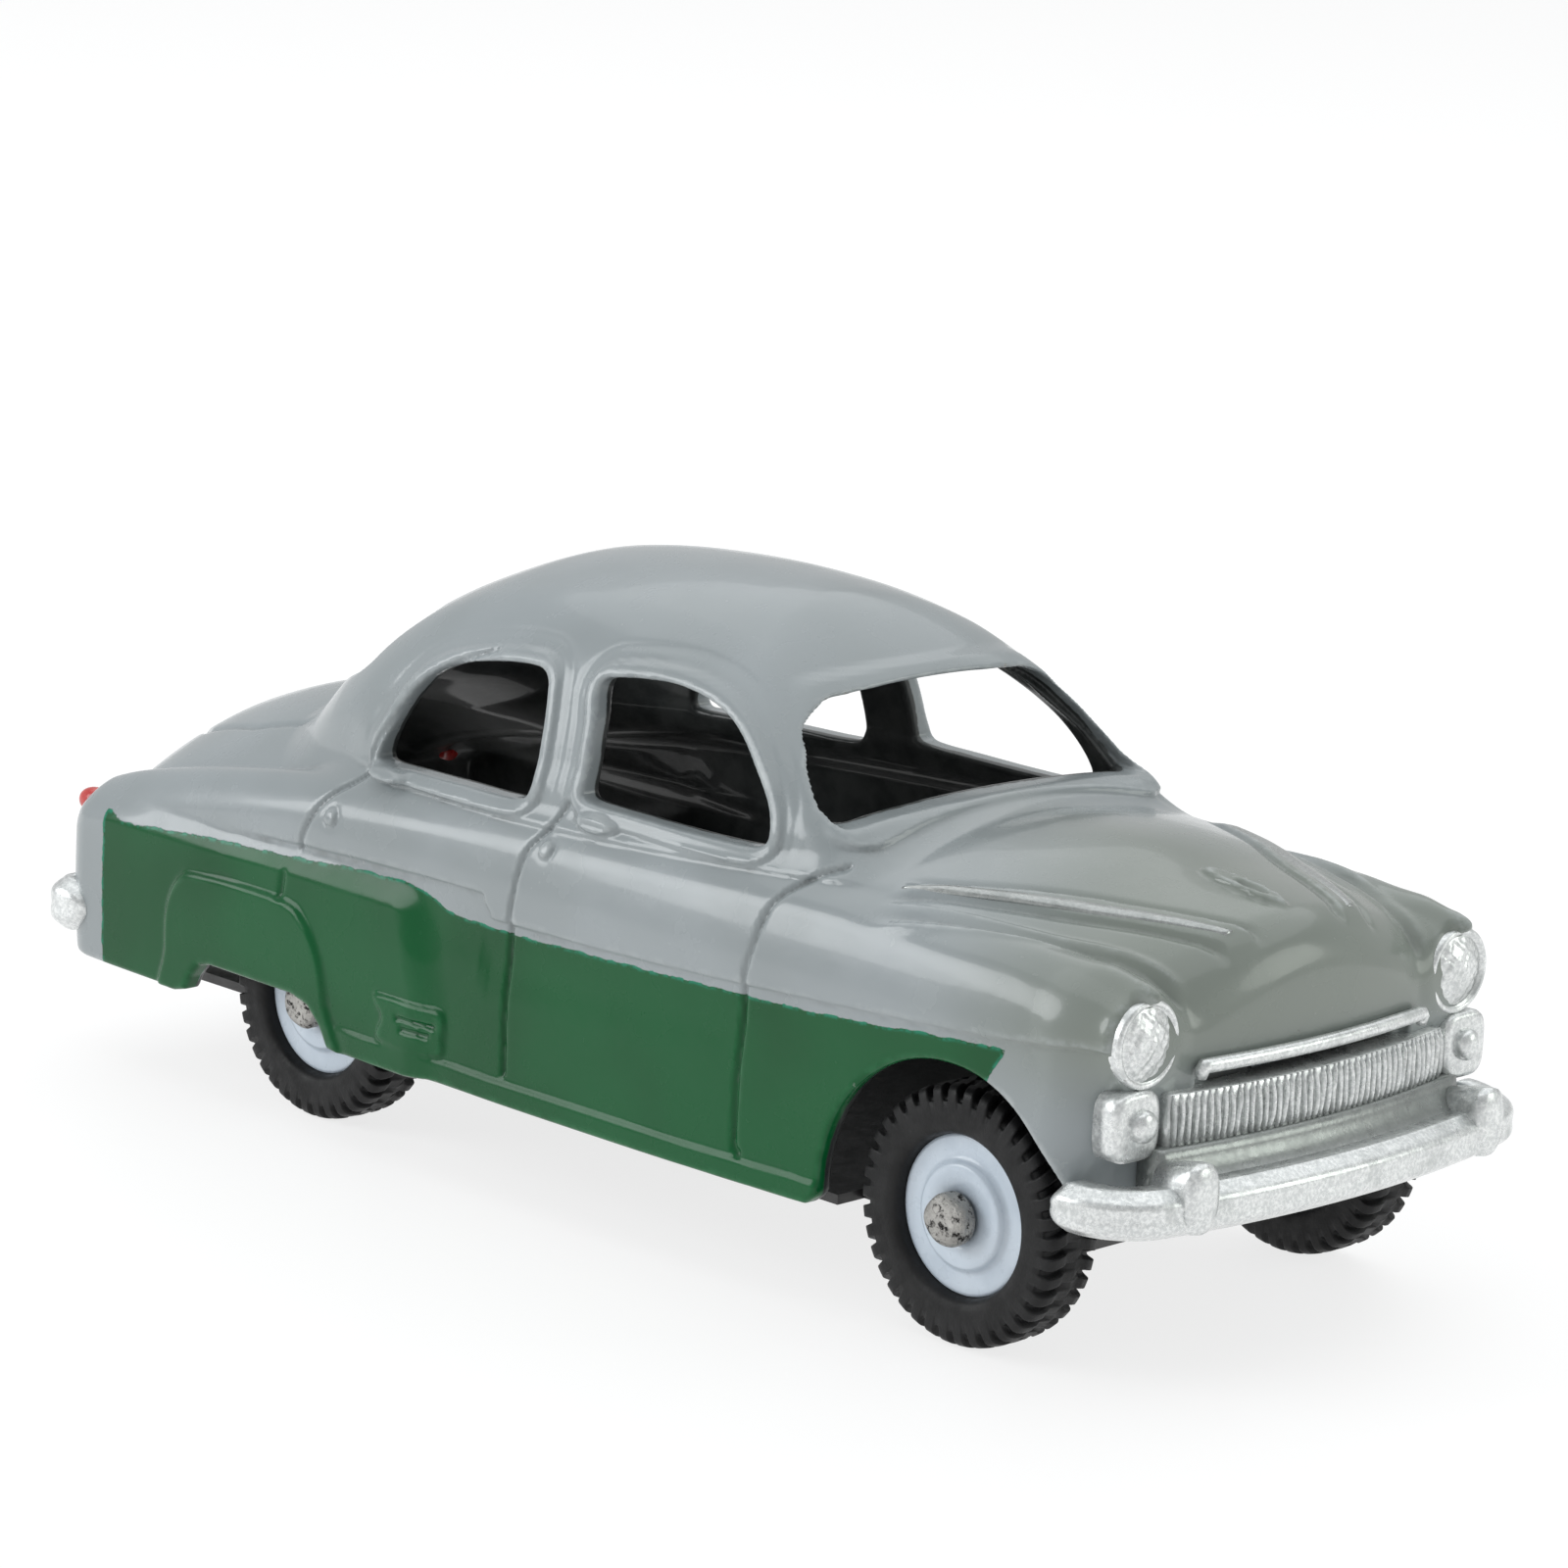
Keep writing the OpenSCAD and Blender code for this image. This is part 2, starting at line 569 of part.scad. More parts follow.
body_casting();
baseplate();
base_rivet_front();
base_rivet_rear();
front_bumper();
rear_bumper();
grille();
grille_bar();
headlamp_left();
headlamp_right();
sidelamp_left();
sidelamp_right();
tail_lamp_left();
tail_lamp_right();
bonnet_flute_left();
bonnet_flute_right();
front_axle();
rear_axle();
hub_front_left();
hub_front_right();
hub_rear_left();
hub_rear_right();
tyre_front_left();
tyre_front_right();
tyre_rear_left();
tyre_rear_right();
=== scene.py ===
"""Looks of a two-tone diecast toy saloon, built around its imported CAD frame.

The casting is drawn as a signed distance on a grid, in millimetres, with x to the front, y to the car's
left and z up, and comes out as one closed mesh: skin, inner face, window openings and all its relief.
Trim, lamps, wheels and axles are built as meshes of their own. Every piece rides on the body that carries it.
"""
import math

import bpy
import numpy as np
import openvdb
from mathutils import Matrix, Vector


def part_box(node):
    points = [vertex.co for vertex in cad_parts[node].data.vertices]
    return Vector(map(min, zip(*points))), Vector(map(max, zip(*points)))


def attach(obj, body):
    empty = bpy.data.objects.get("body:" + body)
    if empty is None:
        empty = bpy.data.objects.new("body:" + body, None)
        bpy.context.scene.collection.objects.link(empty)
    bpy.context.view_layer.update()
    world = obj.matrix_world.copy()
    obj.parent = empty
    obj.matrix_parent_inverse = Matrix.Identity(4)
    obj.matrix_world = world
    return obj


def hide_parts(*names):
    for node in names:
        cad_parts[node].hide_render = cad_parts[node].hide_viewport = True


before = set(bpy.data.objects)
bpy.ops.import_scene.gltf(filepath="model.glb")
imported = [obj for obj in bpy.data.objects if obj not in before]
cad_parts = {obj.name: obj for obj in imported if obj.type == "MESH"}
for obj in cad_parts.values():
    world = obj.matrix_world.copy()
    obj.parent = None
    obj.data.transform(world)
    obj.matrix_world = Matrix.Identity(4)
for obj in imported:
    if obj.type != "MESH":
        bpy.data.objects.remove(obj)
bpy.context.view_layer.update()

MM = 0.001
SIDES = {"left": 1, "right": -1}
VOXEL = 0.17


def node_box(node):
    """Lowest and highest corner of a CAD node, in millimetres."""
    low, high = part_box(node)
    return np.array(low) / MM, np.array(high) / MM


def node_centre(node):
    low, high = node_box(node)
    return (low + high) / 2


# ---------------------------------------------------------------- curves and distances

def step(a, b, t):
    """Smooth 0 to 1 as t goes from a to b. b may be under a."""
    t = np.clip((t - a) / (b - a), 0, 1)
    return t * t * (3 - 2 * t)


def curve(points, t):
    """Smooth curve through (t, value) points."""
    p = np.array(points, float)
    chords = (p[1:, 1] - p[:-1, 1]) / (p[1:, 0] - p[:-1, 0])
    middle = (p[2:, 1] - p[:-2, 1]) / (p[2:, 0] - p[:-2, 0])
    slopes = np.concatenate([chords[:1], middle, chords[-1:]])
    t = np.asarray(t, float)
    i = np.clip(np.searchsorted(p[:, 0], t, side="right") - 1, 0, len(p) - 2)
    h = p[i + 1, 0] - p[i, 0]
    u = np.clip((t - p[i, 0]) / h, 0, 1)
    return ((2 * u**3 - 3 * u**2 + 1) * p[i, 1] + (u**3 - 2 * u**2 + u) * h * slopes[i]
            + (3 * u**2 - 2 * u**3) * p[i + 1, 1] + (u**3 - u**2) * h * slopes[i + 1])


def round_max(a, b, r):
    """Meeting of two solids, with the edge between them rounded to about r."""
    return np.minimum(np.maximum(a, b), -r) + np.sqrt(np.maximum(a + r, 0)**2 + np.maximum(b + r, 0)**2)


def round_min(a, b, r):
    """Union of two solids, with the corner between them filled to about r."""
    return -round_max(-a, -b, r)


def smooth_path(points, closed=False, steps=6):
    """Points along a smooth path through the given ones."""
    p = np.array(points, float)
    p = np.vstack([p[-1], p, p[0], p[1]]) if closed else np.vstack([2 * p[0] - p[1], p, 2 * p[-1] - p[-2]])
    u = np.linspace(0, 1, steps, endpoint=False)[:, None]
    out = [0.5 * (2 * b + (c - a) * u + (2 * a - 5 * b + 4 * c - d) * u**2 + (3 * b - a - 3 * c + d) * u**3)
           for a, b, c, d in zip(p, p[1:], p[2:], p[3:])]
    out = np.vstack(out)
    return out if closed else np.vstack([out, p[-2]])


def path_distance(u, v, path):
    """Distance from points (u, v) to an open path."""
    best = np.full(np.broadcast(u, v).shape, 1e3)
    for (a, b), (c, d) in zip(path, path[1:]):
        length2 = (c - a)**2 + (d - b)**2 + 1e-12
        t = np.clip(((u - a) * (c - a) + (v - b) * (d - b)) / length2, 0, 1)
        best = np.minimum(best, np.hypot(u - a - t * (c - a), v - b - t * (d - b)))
    return best


def inside_distance(u, v, outline):
    """Signed distance to a closed outline, negative inside."""
    ring = np.vstack([outline, outline[:1]])
    inside = np.zeros(np.broadcast(u, v).shape, bool)
    for (a, b), (c, d) in zip(ring, ring[1:]):
        if b != d:
            inside ^= ((b > v) != (d > v)) & (u < (c - a) * (v - b) / (d - b) + a)
    return np.where(inside, -1, 1) * path_distance(u, v, ring)


def rounded_hull(corners):
    """Outline round circles (u, v, r) that stand in order round a convex shape."""
    a = np.linspace(0, 2 * np.pi, 96, endpoint=False)
    c = np.array(corners, float)
    reach = c[:, :1] * np.cos(a) + c[:, 1:2] * np.sin(a) + c[:, 2:]
    k = np.argmax(reach, axis=0)
    return np.stack([c[k, 0] + c[k, 2] * np.cos(a), c[k, 1] + c[k, 2] * np.sin(a)], -1)


def groove(distance, depth, width):
    return -depth * np.exp(-(distance / width)**2)


# ---------------------------------------------------------------- casting: outer skin

HALF_WIDTH = [(-49, 16.5), (-45, 16.85), (-38, 17.05), (-28, 17.1), (-15, 17.2), (5, 17.6), (20, 17.6),
              (32, 17.5), (39, 17.2), (43, 16.7), (46, 16)]
CROWN_Z = [(-49, 19), (-46, 20.8), (-43, 22.4), (-38, 24), (-32, 25), (-20, 25.6), (0, 26), (15, 26.3),
           (22, 26.6), (25, 26.8), (30, 26.7), (35, 25.8), (41, 25), (46, 24)]
VALLEY_Y = [(-49, 13), (-30, 13.4), (-20, 14), (0, 15.5), (20, 16.6), (25, 15.6), (30, 14.3), (35, 12.9),
            (39, 11.4), (42, 10.5), (46, 9.6)]
VALLEY_Z = [(-49, 14.5), (-43, 18.2), (-38, 19.6), (-30, 20.8), (-20, 22.2), (0, 23.4), (20, 23.9),
            (25, 23.9), (30, 23.6), (35, 23.3), (39, 23), (42, 22), (46, 20)]
WING_Z = [(-49, 16.2), (-46, 17.6), (-43, 18.7), (-40, 19.5), (-35, 20.6), (-28, 21.8), (-20, 22.8),
          (0, 23.6), (20, 24.1), (28, 24.1), (35, 23.9), (39, 23.4), (42, 22.9), (46, 22)]
WING_Y = [(-49, 15), (-30, 15.6), (0, 15.8), (20, 16.2), (30, 15.8), (36, 15.2), (42, 14.4), (46, 13.5)]
ROOF_Z = [(-36, 23.5), (-33, 26.2), (-30, 28.9), (-26, 32), (-20, 34.9), (-13, 36.8), (-5, 37.6),
          (3, 37.5), (8, 36.8), (12, 35.8), (16, 34.5), (22, 32.2)]
CABIN_Y = [(-36, 8), (-31, 10.8), (-27, 12.3), (-22, 13.5), (-15, 14.3), (-5, 14.8), (5, 14.8),
           (13, 14.6), (20, 14.1), (26, 13.4)]
BACK_X = [(20, -38), (25, -33), (27, -31.2), (29, -29), (31, -26.6), (33, -23.8), (35, -20), (38, -14)]
WALL = 1.2
FRONT_AXLE = node_centre("front_axle")
HEADLAMP = node_centre("headlamp_left")


def lower_body(x, y, z):
    """Wings, doors, bonnet, boot, nose and tail."""
    side = y - curve(HALF_WIDTH, x) + 0.035 * np.maximum(z - 17, 0)**2 + 0.003 * np.minimum(z - 12, 0)**2
    hip = 0.75 * step(-8.6, -12.2, x + 0.35 * np.maximum(z - 11, 0)) * step(17.9, 15.9, z)
    side = side - hip
    valley_z = curve(VALLEY_Z, x)
    share = y / curve(VALLEY_Y, x)
    bonnet = z - valley_z - (curve(CROWN_Z, x) - valley_z) * (1 - share**1.9)
    wing = z - curve(WING_Z, x) + 0.09 * (y - curve(WING_Y, x))**2
    top = round_min(bonnet, wing, 0.35)
    nose = x - 44.2 + 0.0078 * y**2 + 0.012 * (z - 19.5)**2
    tail = -x - 48.1 + 0.0045 * y**2 + 0.008 * (z - 12.5)**2
    return round_max(round_max(round_max(side, top, 2.6), nose, 2.8), tail, 2.5)


def screen_x(y, z):
    """Where the plane of the windscreen stands."""
    return 19.5 - 1.087 * (z - 27.36) - 0.004 * y**2


def back_x(y, z):
    """Where the curved back of the cabin stands."""
    return curve(BACK_X, z) + 0.03 * y**2


def cabin(x, y, z):
    lean = 0.17 * (z - 24.5) + 0.018 * np.maximum(z - 24.5, 0)**2
    side = y - curve(CABIN_Y, x) + lean
    roof = z - curve(ROOF_Z, x) + y**2 / 38
    screen = (x - screen_x(y, z)) / 1.48
    back = (back_x(y, z) - x) / 1.3
    return round_max(round_max(round_max(side, roof, 2.5), screen, 2.2), back, 2.5)


def outer_skin(x, y, z):
    """Body and cabin in one, before the lamp shrouds and the relief."""
    return round_min(lower_body(x, y, z), cabin(x, y, z), 1.4)


# ---------------------------------------------------------------- casting: outlines of its relief

REAR_WINDOW = smooth_path([
    (-19.5, 24.0), (-19.3, 25.2), (-18.4, 27.1), (-17.2, 28.8), (-15.8, 29.9), (-13.8, 30.7), (-11.5, 31.2),
    (-9, 31.55), (-6.9, 31.6), (-5.9, 31.1), (-5.5, 30.2), (-5.1, 28.5), (-4.85, 26), (-4.9, 24.9), (-5.5, 24.2),
    (-7.5, 24), (-11, 23.95), (-15, 23.85), (-18.5, 23.75)], closed=True)
FRONT_WINDOW = smooth_path([
    (-0.5, 25.9), (-0.6, 27.4), (-0.9, 29.5), (-1.4, 31), (-1.4, 31.8), (-0.5, 32.1), (2, 32.4), (4.4, 32.45),
    (6.7, 32.15), (8.8, 31.55), (10.6, 30.6), (12.3, 29.25), (13.7, 27.9), (14.6, 26.6), (14.8, 25.6),
    (14.1, 25.05), (12, 24.9), (8, 24.85), (4, 24.9), (0.7, 24.95), (-0.3, 25.2)], closed=True)
WINDSCREEN_HALF = [(5, 27.35), (9.5, 27.1), (12.2, 26.85), (13.0, 26.95), (12.9, 27.7), (12.3, 29.1),
                   (11.5, 30.4), (10.9, 31.3), (10.1, 32), (9.2, 32.45), (8, 32.8), (4, 33.1)]
WINDSCREEN = smooth_path([(0, 27.45)] + WINDSCREEN_HALF + [(0, 33.2)]
                         + [(-v, w) for v, w in reversed(WINDSCREEN_HALF)], closed=True)
BACKLIGHT = rounded_hull([(-9.6, 28.3, 1.2), (9.6, 28.3, 1.2), (7.6, 30.4, 1.7), (-7.6, 30.4, 1.7)])
DOOR_LINES = [
    smooth_path([(-3.4, 8), (-3.8, 12), (-3.9, 16), (-3.8, 18.5), (-3.4, 21.3), (-2.2, 23.2), (-1.6, 24.6)]),
    smooth_path([(16.6, 7.8), (16.1, 9), (16.1, 17), (16.5, 20), (17.3, 22.7), (19, 24.2), (20.6, 24.9)]),
    smooth_path([(-23.6, 17.8), (-23.1, 19.4), (-21.9, 21.2), (-20.2, 22.8), (-19.9, 24.6), (-18, 27.6),
                 (-15, 30.3), (-11, 32)]),
]
MOULDING = smooth_path([(-32, 17.6), (-24, 18.0), (-15, 18.3), (-7, 18.45), (-6.4, 18.2), (-5.4, 17.2),
                        (-4.6, 17.1), (5, 17.3), (15, 17.7), (30, 18.5), (36, 18.9), (41, 19.4)])
BELT = smooth_path([(-20.5, 23.2), (-10, 22.9), (0, 23.1), (10, 23.6), (17, 24.0), (24, 24.4)])
SPAT = smooth_path([(-35.0, 4), (-35.4, 9), (-35.2, 12), (-34, 13.9), (-32, 14.4), (-24.4, 14.4), (-22, 13.5),
                    (-20.5, 11.5), (-19.7, 8.5), (-18.8, 4)], closed=True)
SCOOP = smooth_path([(-14.4, 7.7), (-14.2, 9.2), (-14.9, 10), (-14.7, 10.5), (-11, 10.5), (-9.2, 10.4),
                     (-8.9, 9), (-9.4, 7.7)], closed=True)
HANDLES = [(-17.7, 23.35), (1.4, 24.0)]
LOCKS = [(-21.0, 20.2), (-1.7, 22.0)]
SILL_EDGE = np.array([(-60, -5), (-60, 6.9), (-42, 6.5), (-34.6, 6.4), (-33.4, 6.7), (-32.9, 7.6), (-32, 8.6),
                      (-31, 8.8), (-23, 8.7), (-21.4, 8.3), (-20.2, 7.2), (-19.4, 6), (-18, 5.9), (-12, 5.9),
                      (-10, 6.1), (22, 6.1), (23.2, 7), (23.3, 9), (24, 9), (41, 9.4), (60, 9.6), (60, -5)])
ARCH_R = 9.1
ORNAMENT = (38.2, 3.1, 0.85)
FLUTE = [(24.5, 13.6), (30, 11), (35, 8.5), (40, 6.1), (42, 5)]
GREEN_EDGE = [(-43, 16.9), (-42.2, 16.8), (-40, 16.35), (-35, 16.7), (-30, 16.9), (-25, 17.1), (-20, 17.4),
              (-16, 17.6), (-13, 17.6), (-11, 17.2), (-9.5, 16.7), (-7, 16.5), (0, 16.6), (10, 16.9),
              (20, 17.25), (25, 17.5), (30, 17.95), (36, 18.3), (38, 18.3)]


def side_relief(x, z):
    """Height of the relief on the sides, seen square on."""
    windows = np.minimum(inside_distance(x, z, REAR_WINDOW), inside_distance(x, z, FRONT_WINDOW))
    h = 0.3 * step(1.05, 0.75, windows)
    h = h + groove(windows - 1.75, 0.07, 0.22) * step(24.4, 25.4, z)
    for line in DOOR_LINES:
        h = h + groove(path_distance(x, z, line), 0.3, 0.17)
    below = curve(np.unique(MOULDING, axis=0), np.broadcast_to(x, h.shape)) - z
    h = h - 0.28 * step(-0.12, 0.18, below) * step(5.5, 2.0, below) * step(-34, -26, x)
    belt = z - curve(BELT, np.broadcast_to(x, h.shape))
    h = h + 0.22 * step(-0.15, 0.2, belt) * step(4, 2, belt) * step(-24, -20, x) * step(26, 18, x)
    h = h + 0.32 * step(0.3, -0.2, inside_distance(x, z, SPAT))
    h = h + 0.3 * step(0.2, -0.2, inside_distance(x, z, SCOOP))
    for louvre_z, half in ((9.45, 1.5), (8.85, 1.1)):
        line = np.hypot(np.maximum(np.abs(x + 11.2) - half, 0), z - louvre_z)
        h = h + groove(line, 0.3, 0.16)
    h = h + groove(path_distance(x, z, [(-24.6, 14.6), (-24.5, 16)]), 0.2, 0.2)
    h = h + 0.22 * step(7.7, 7.3, z) * step(-20, -17, x)
    for cx, cz in HANDLES:
        h = h + 0.55 * step(1.12, 0.6, np.hypot((x - cx) / 1.95, (z - cz) / 0.52))
    for cx, cz in LOCKS:
        d = np.hypot(x - cx, z - cz)
        h = h + 0.22 * step(0.6, 0.4, d) + groove(d - 0.62, 0.08, 0.12)
    return h


def top_relief(x, y):
    """Height of the relief on bonnet and boot, seen from above."""
    half_w = 0.75 * np.clip((x - 24) / 10, 0.2, 1) + 0.1
    flute = np.abs(y - curve(FLUTE, np.broadcast_to(x, np.broadcast(x, y).shape)))
    on_flute = step(24, 26, x) * step(43, 41.5, x)
    h = (0.22 * step(half_w + 0.5, half_w, flute) + groove(flute - half_w - 0.55, 0.2, 0.3)) * on_flute
    centre, half_l, half_w = ORNAMENT
    badge = np.hypot((x - centre) / half_l, y / half_w)
    h = h + 0.38 * step(1.1, 0.85, badge) - 0.3 * step(0.75, 0.45, np.hypot((x - centre - 0.5) / 2, y / 0.55))
    valley = y - curve(VALLEY_Y, np.broadcast_to(x, h.shape))
    beads = np.exp(-((valley + 0.75) / 0.28)**2) + np.exp(-((valley - 0.75) / 0.28)**2)
    h = h + (0.16 * beads + groove(valley, 0.22, 0.3)) * step(24, 27, x) * step(43.5, 42, x)
    lid_edge = np.array([(-1, -1), (-1, 9.2), (5.5, 8.4), (8.2, 6.6), (8.8, -1)])
    lid = inside_distance(np.abs(x + 37.5), y, lid_edge)
    h = h + groove(lid, 0.22, 0.22) * step(-29.8, -31, x)
    return h


def front_relief(y, z):
    """Height of the relief round the windscreen and down the cowl, seen from the front."""
    d = inside_distance(y, z, WINDSCREEN)
    below = step(28.6, 27.6, z)
    h = 0.34 * step(1.15, 0.75, d)
    h = h + (groove(d - 1.65, 0.2, 0.2) + groove(d - 2.4, 0.16, 0.22)) * below
    return h


def casting_distance(x, y, z):
    """Signed distance of the whole casting on a half grid with y from 0 up."""
    skin = outer_skin(x, y, z)
    shroud = np.hypot(y - HEADLAMP[1], z - HEADLAMP[2]) - 2.85
    shroud = round_max(round_max(shroud, x - 43.0, 0.5), 38.5 - x, 0.5)
    peak = np.hypot((x - 41.5) / 2.6, np.hypot((y - HEADLAMP[1]) / 0.75, (z - 22.35) / 0.75)) - 1
    skin = round_min(skin, round_min(shroud, peak * 0.75, 0.6), 1.3).astype(np.float32)
    gradient = np.gradient(skin, VOXEL)
    slope = np.sqrt(sum(g * g for g in gradient)) + 1e-6
    skin = skin / slope
    facing = [g / slope for g in gradient]
    del gradient, slope
    relief = side_relief(x[:, :, 0], z[0])[:, None, :] * step(0.3, 0.55, facing[1])
    relief += top_relief(x[:, :, 0], y[:, :, 0])[:, :, None] * step(0.5, 0.75, facing[2]) * (z < 27.5)
    relief += front_relief(y[0], z[0])[None] * step(0.35, 0.5, facing[0]) * (z > 24) * (x > 8)
    inner = skin + WALL
    shell = round_max(skin - relief, -inner, 0.05)
    windows = np.minimum(inside_distance(x[:, :, 0], z[0], REAR_WINDOW),
                         inside_distance(x[:, :, 0], z[0], FRONT_WINDOW))[:, None, :]
    front = np.maximum(inside_distance(y[0], z[0], WINDSCREEN)[None], np.abs(x - screen_x(y, z)) - 2.6)
    back = np.maximum(inside_distance(y[0], z[0], BACKLIGHT)[None], np.abs(x - back_x(y, z)) - 3.5)
    sill = inside_distance(x[:, :, 0], z[0], SILL_EDGE)[:, None, :]
    arch = np.maximum(np.hypot(x - FRONT_AXLE[0] + 0.35, z - 7.5) - ARCH_R, 11.5 - y)
    mouth = np.maximum(np.abs(z - 13.4) - 4.2, np.maximum(42.9 - x, y - 9.3))
    for cut, r in ((windows, 0.35), (front, 0.35), (back, 0.35), (sill, 0.35), (arch, 0.3), (mouth, 0.2)):
        shell = round_max(shell, -cut, r)
    return shell.astype(np.float32)


# ---------------------------------------------------------------- mesh helpers

def new_object(name, vertices, faces):
    """Object from points in millimetres."""
    mesh = bpy.data.meshes.new(name)
    mesh.from_pydata([tuple(v) for v in np.asarray(vertices) * MM], [], [tuple(map(int, f)) for f in faces])
    mesh.validate()
    mesh.update()
    mesh.shade_smooth()
    obj = bpy.data.objects.new(name, mesh)
    bpy.context.collection.objects.link(obj)
    return obj


def joined(name, parts):
    """One object from several (vertices, faces) lists."""
    vertices, faces, offset = [], [], 0
    for v, f in parts:
        vertices.extend(v)
        faces.extend([tuple(i + offset for i in face) for face in f])
        offset += len(v)
    return new_object(name, vertices, faces)


def mirrored(part):
    v, f = part
    return [(p[0], -p[1], p[2]) for p in v], [tuple(reversed(face)) for face in f]


def sweep(sections, closed=False):
    """Closed mesh through equal rings of points. The ends are capped unless closed."""
    n = len(sections[0])
    vertices = [tuple(p) for ring in sections for p in ring]
    faces = []
    count = len(sections)
    for i in range(count if closed else count - 1):
        a, b = i * n, (i + 1) % count * n
        faces += [(a + k, a + (k + 1) % n, b + (k + 1) % n, b + k) for k in range(n)]
    if not closed:
        faces += [tuple(range(n - 1, -1, -1)), tuple((count - 1) * n + k for k in range(n))]
    return vertices, faces


def lathe(profile, axis, centre, segments=96):
    """Profile of (along, radius) points turned round an axis through centre."""
    axis = Vector(axis).normalized()
    u = axis.orthogonal().normalized()
    w = axis.cross(u)
    rings = []
    for k in range(segments):
        a = 2 * math.pi * k / segments
        out = u * math.cos(a) + w * math.sin(a)
        rings.append([tuple(Vector(centre) + axis * s + out * max(r, 1e-4)) for s, r in profile])
    n = len(profile)
    vertices = [p for ring in rings for p in ring]
    faces = [(k * n + i, (k + 1) % segments * n + i, (k + 1) % segments * n + i + 1, k * n + i + 1)
             for k in range(segments) for i in range(n - 1)]
    faces += [tuple(k * n for k in range(segments - 1, -1, -1)), tuple(k * n + n - 1 for k in range(segments))]
    return vertices, faces


def set_attribute(obj, name, values):
    layer = obj.data.attributes.new(name, "FLOAT", "POINT")
    layer.data.foreach_set("value", np.asarray(values, np.float32))


# ---------------------------------------------------------------- casting: mesh

def sample(grid, origin, points):
    """Values of a grid between its points."""
    t = (points - origin) / VOXEL
    i = np.clip(np.floor(t).astype(int), 0, np.array(grid.shape) - 2)
    f = t - i
    out = 0
    for dx in (0, 1):
        for dy in (0, 1):
            for dz in (0, 1):
                w = (f[:, 0] if dx else 1 - f[:, 0]) * (f[:, 1] if dy else 1 - f[:, 1])
                w = w * (f[:, 2] if dz else 1 - f[:, 2])
                out = out + w * grid[i[:, 0] + dx, i[:, 1] + dy, i[:, 2] + dz]
    return out


def casting_mesh():
    """Vertices and quads of the casting."""
    margin = 4 * VOXEL
    low, high = node_box("body_casting")
    x = np.arange(low[0] - margin, high[0] + margin, VOXEL)[:, None, None]
    y = np.arange(0, high[1] + margin, VOXEL)[None, :, None]
    z = np.arange(low[2] - margin, high[2] + margin, VOXEL)[None, None, :]
    half = casting_distance(x, y, z)
    grid = np.concatenate([half[:, :0:-1], half], axis=1)
    origin = np.array([x[0, 0, 0], -y[0, -1, 0], z[0, 0, 0]])
    volume = openvdb.FloatGrid(background=3 * VOXEL)
    volume.copyFromArray(np.clip(grid, -3 * VOXEL, 3 * VOXEL))
    points, quads = volume.convertToQuads(isovalue=0.0)
    points = points.astype(float) * VOXEL + origin
    reach = 0.6 * VOXEL
    for _ in range(2):
        value = sample(grid, origin, points)
        slope = np.stack([sample(grid, origin, points + d) - sample(grid, origin, points - d)
                          for d in np.eye(3) * reach], -1) / (2 * reach)
        size = np.maximum((slope**2).sum(-1), 0.2)
        points = points - np.clip(value / size, -0.3 * VOXEL, 0.3 * VOXEL)[:, None] * slope
    return points, quads


def sharpness(points, quads):
    """How far each point stands out from its neighbours, smoothed: positive on edges, negative in corners."""
    a = np.concatenate([quads[:, 0], quads[:, 1], quads[:, 2], quads[:, 3]]).astype(int)
    b = np.concatenate([quads[:, 1], quads[:, 2], quads[:, 3], quads[:, 0]]).astype(int)
    count = np.bincount(a, minlength=len(points))[:, None] + 1e-9

    def mean(values):
        sums = [np.bincount(a, values[b, k], len(points)) for k in range(values.shape[1])]
        return np.stack(sums, -1) / count

    normals = np.cross(points[quads[:, 2]] - points[quads[:, 0]], points[quads[:, 3]] - points[quads[:, 1]])
    at_points = np.stack([sum(np.bincount(quads[:, c].astype(int), normals[:, k], len(points))
                              for c in range(4)) for k in range(3)], -1)
    at_points /= np.linalg.norm(at_points, axis=1)[:, None] + 1e-9
    smooth = points
    for _ in range(3):
        smooth = mean(smooth)
    out = ((points - smooth) * at_points).sum(-1)[:, None] / VOXEL
    for _ in range(2):
        out = mean(out)
    return out[:, 0], at_points


def paint_zone(points, normals):
    """Distance inside the green zone in millimetres: positive is green, negative is grey."""
    x, y, z = points[:, 0], np.abs(points[:, 1]), points[:, 2]
    below = curve(GREEN_EDGE, x) - z
    front = 36.2 - x - 0.65 * np.maximum(18.2 - z, 0)
    zone = np.minimum(np.minimum(below, x + 42.2), np.minimum(front, (y - 14.2) * 2))
    outward = normals[:, 1] * np.sign(points[:, 1])
    return np.minimum(zone, (outward + 0.05) * 8)


def inner_face(points):
    """1 on the inside face of the casting, 0 on its skin; it masks the painted shade inside the body."""
    x, y, z = points[:, 0], np.abs(points[:, 1]), points[:, 2]
    return step(-0.45, -0.95, outer_skin(x, y, z))


def make_casting():
    points, quads = casting_mesh()
    obj = new_object("body_shell", points, quads)
    if len(obj.data.vertices) != len(points):
        raise RuntimeError("the casting's mesh lost points")
    edges, normals = sharpness(points, quads)
    set_attribute(obj, "edge", edges)
    set_attribute(obj, "green", paint_zone(points, normals))
    set_attribute(obj, "inside", inner_face(points))
    # painted shade and painted greenish reflection: this mask marks the front of the bonnet and wings, which the
    # enamel darkens and tints green
    forward = points[:, 0] - 0.6 * np.abs(points[:, 1])
    set_attribute(obj, "nose", step(16, 34, forward) * step(14, 20, points[:, 2]))
    return obj


# ---------------------------------------------------------------- materials

def srgb(r, g, b):
    """Linear colour from 0 to 255 display values."""
    def linear(c):
        c /= 255
        return c / 12.92 if c <= 0.04045 else ((c + 0.055) / 1.055)**2.4
    return linear(r), linear(g), linear(b), 1


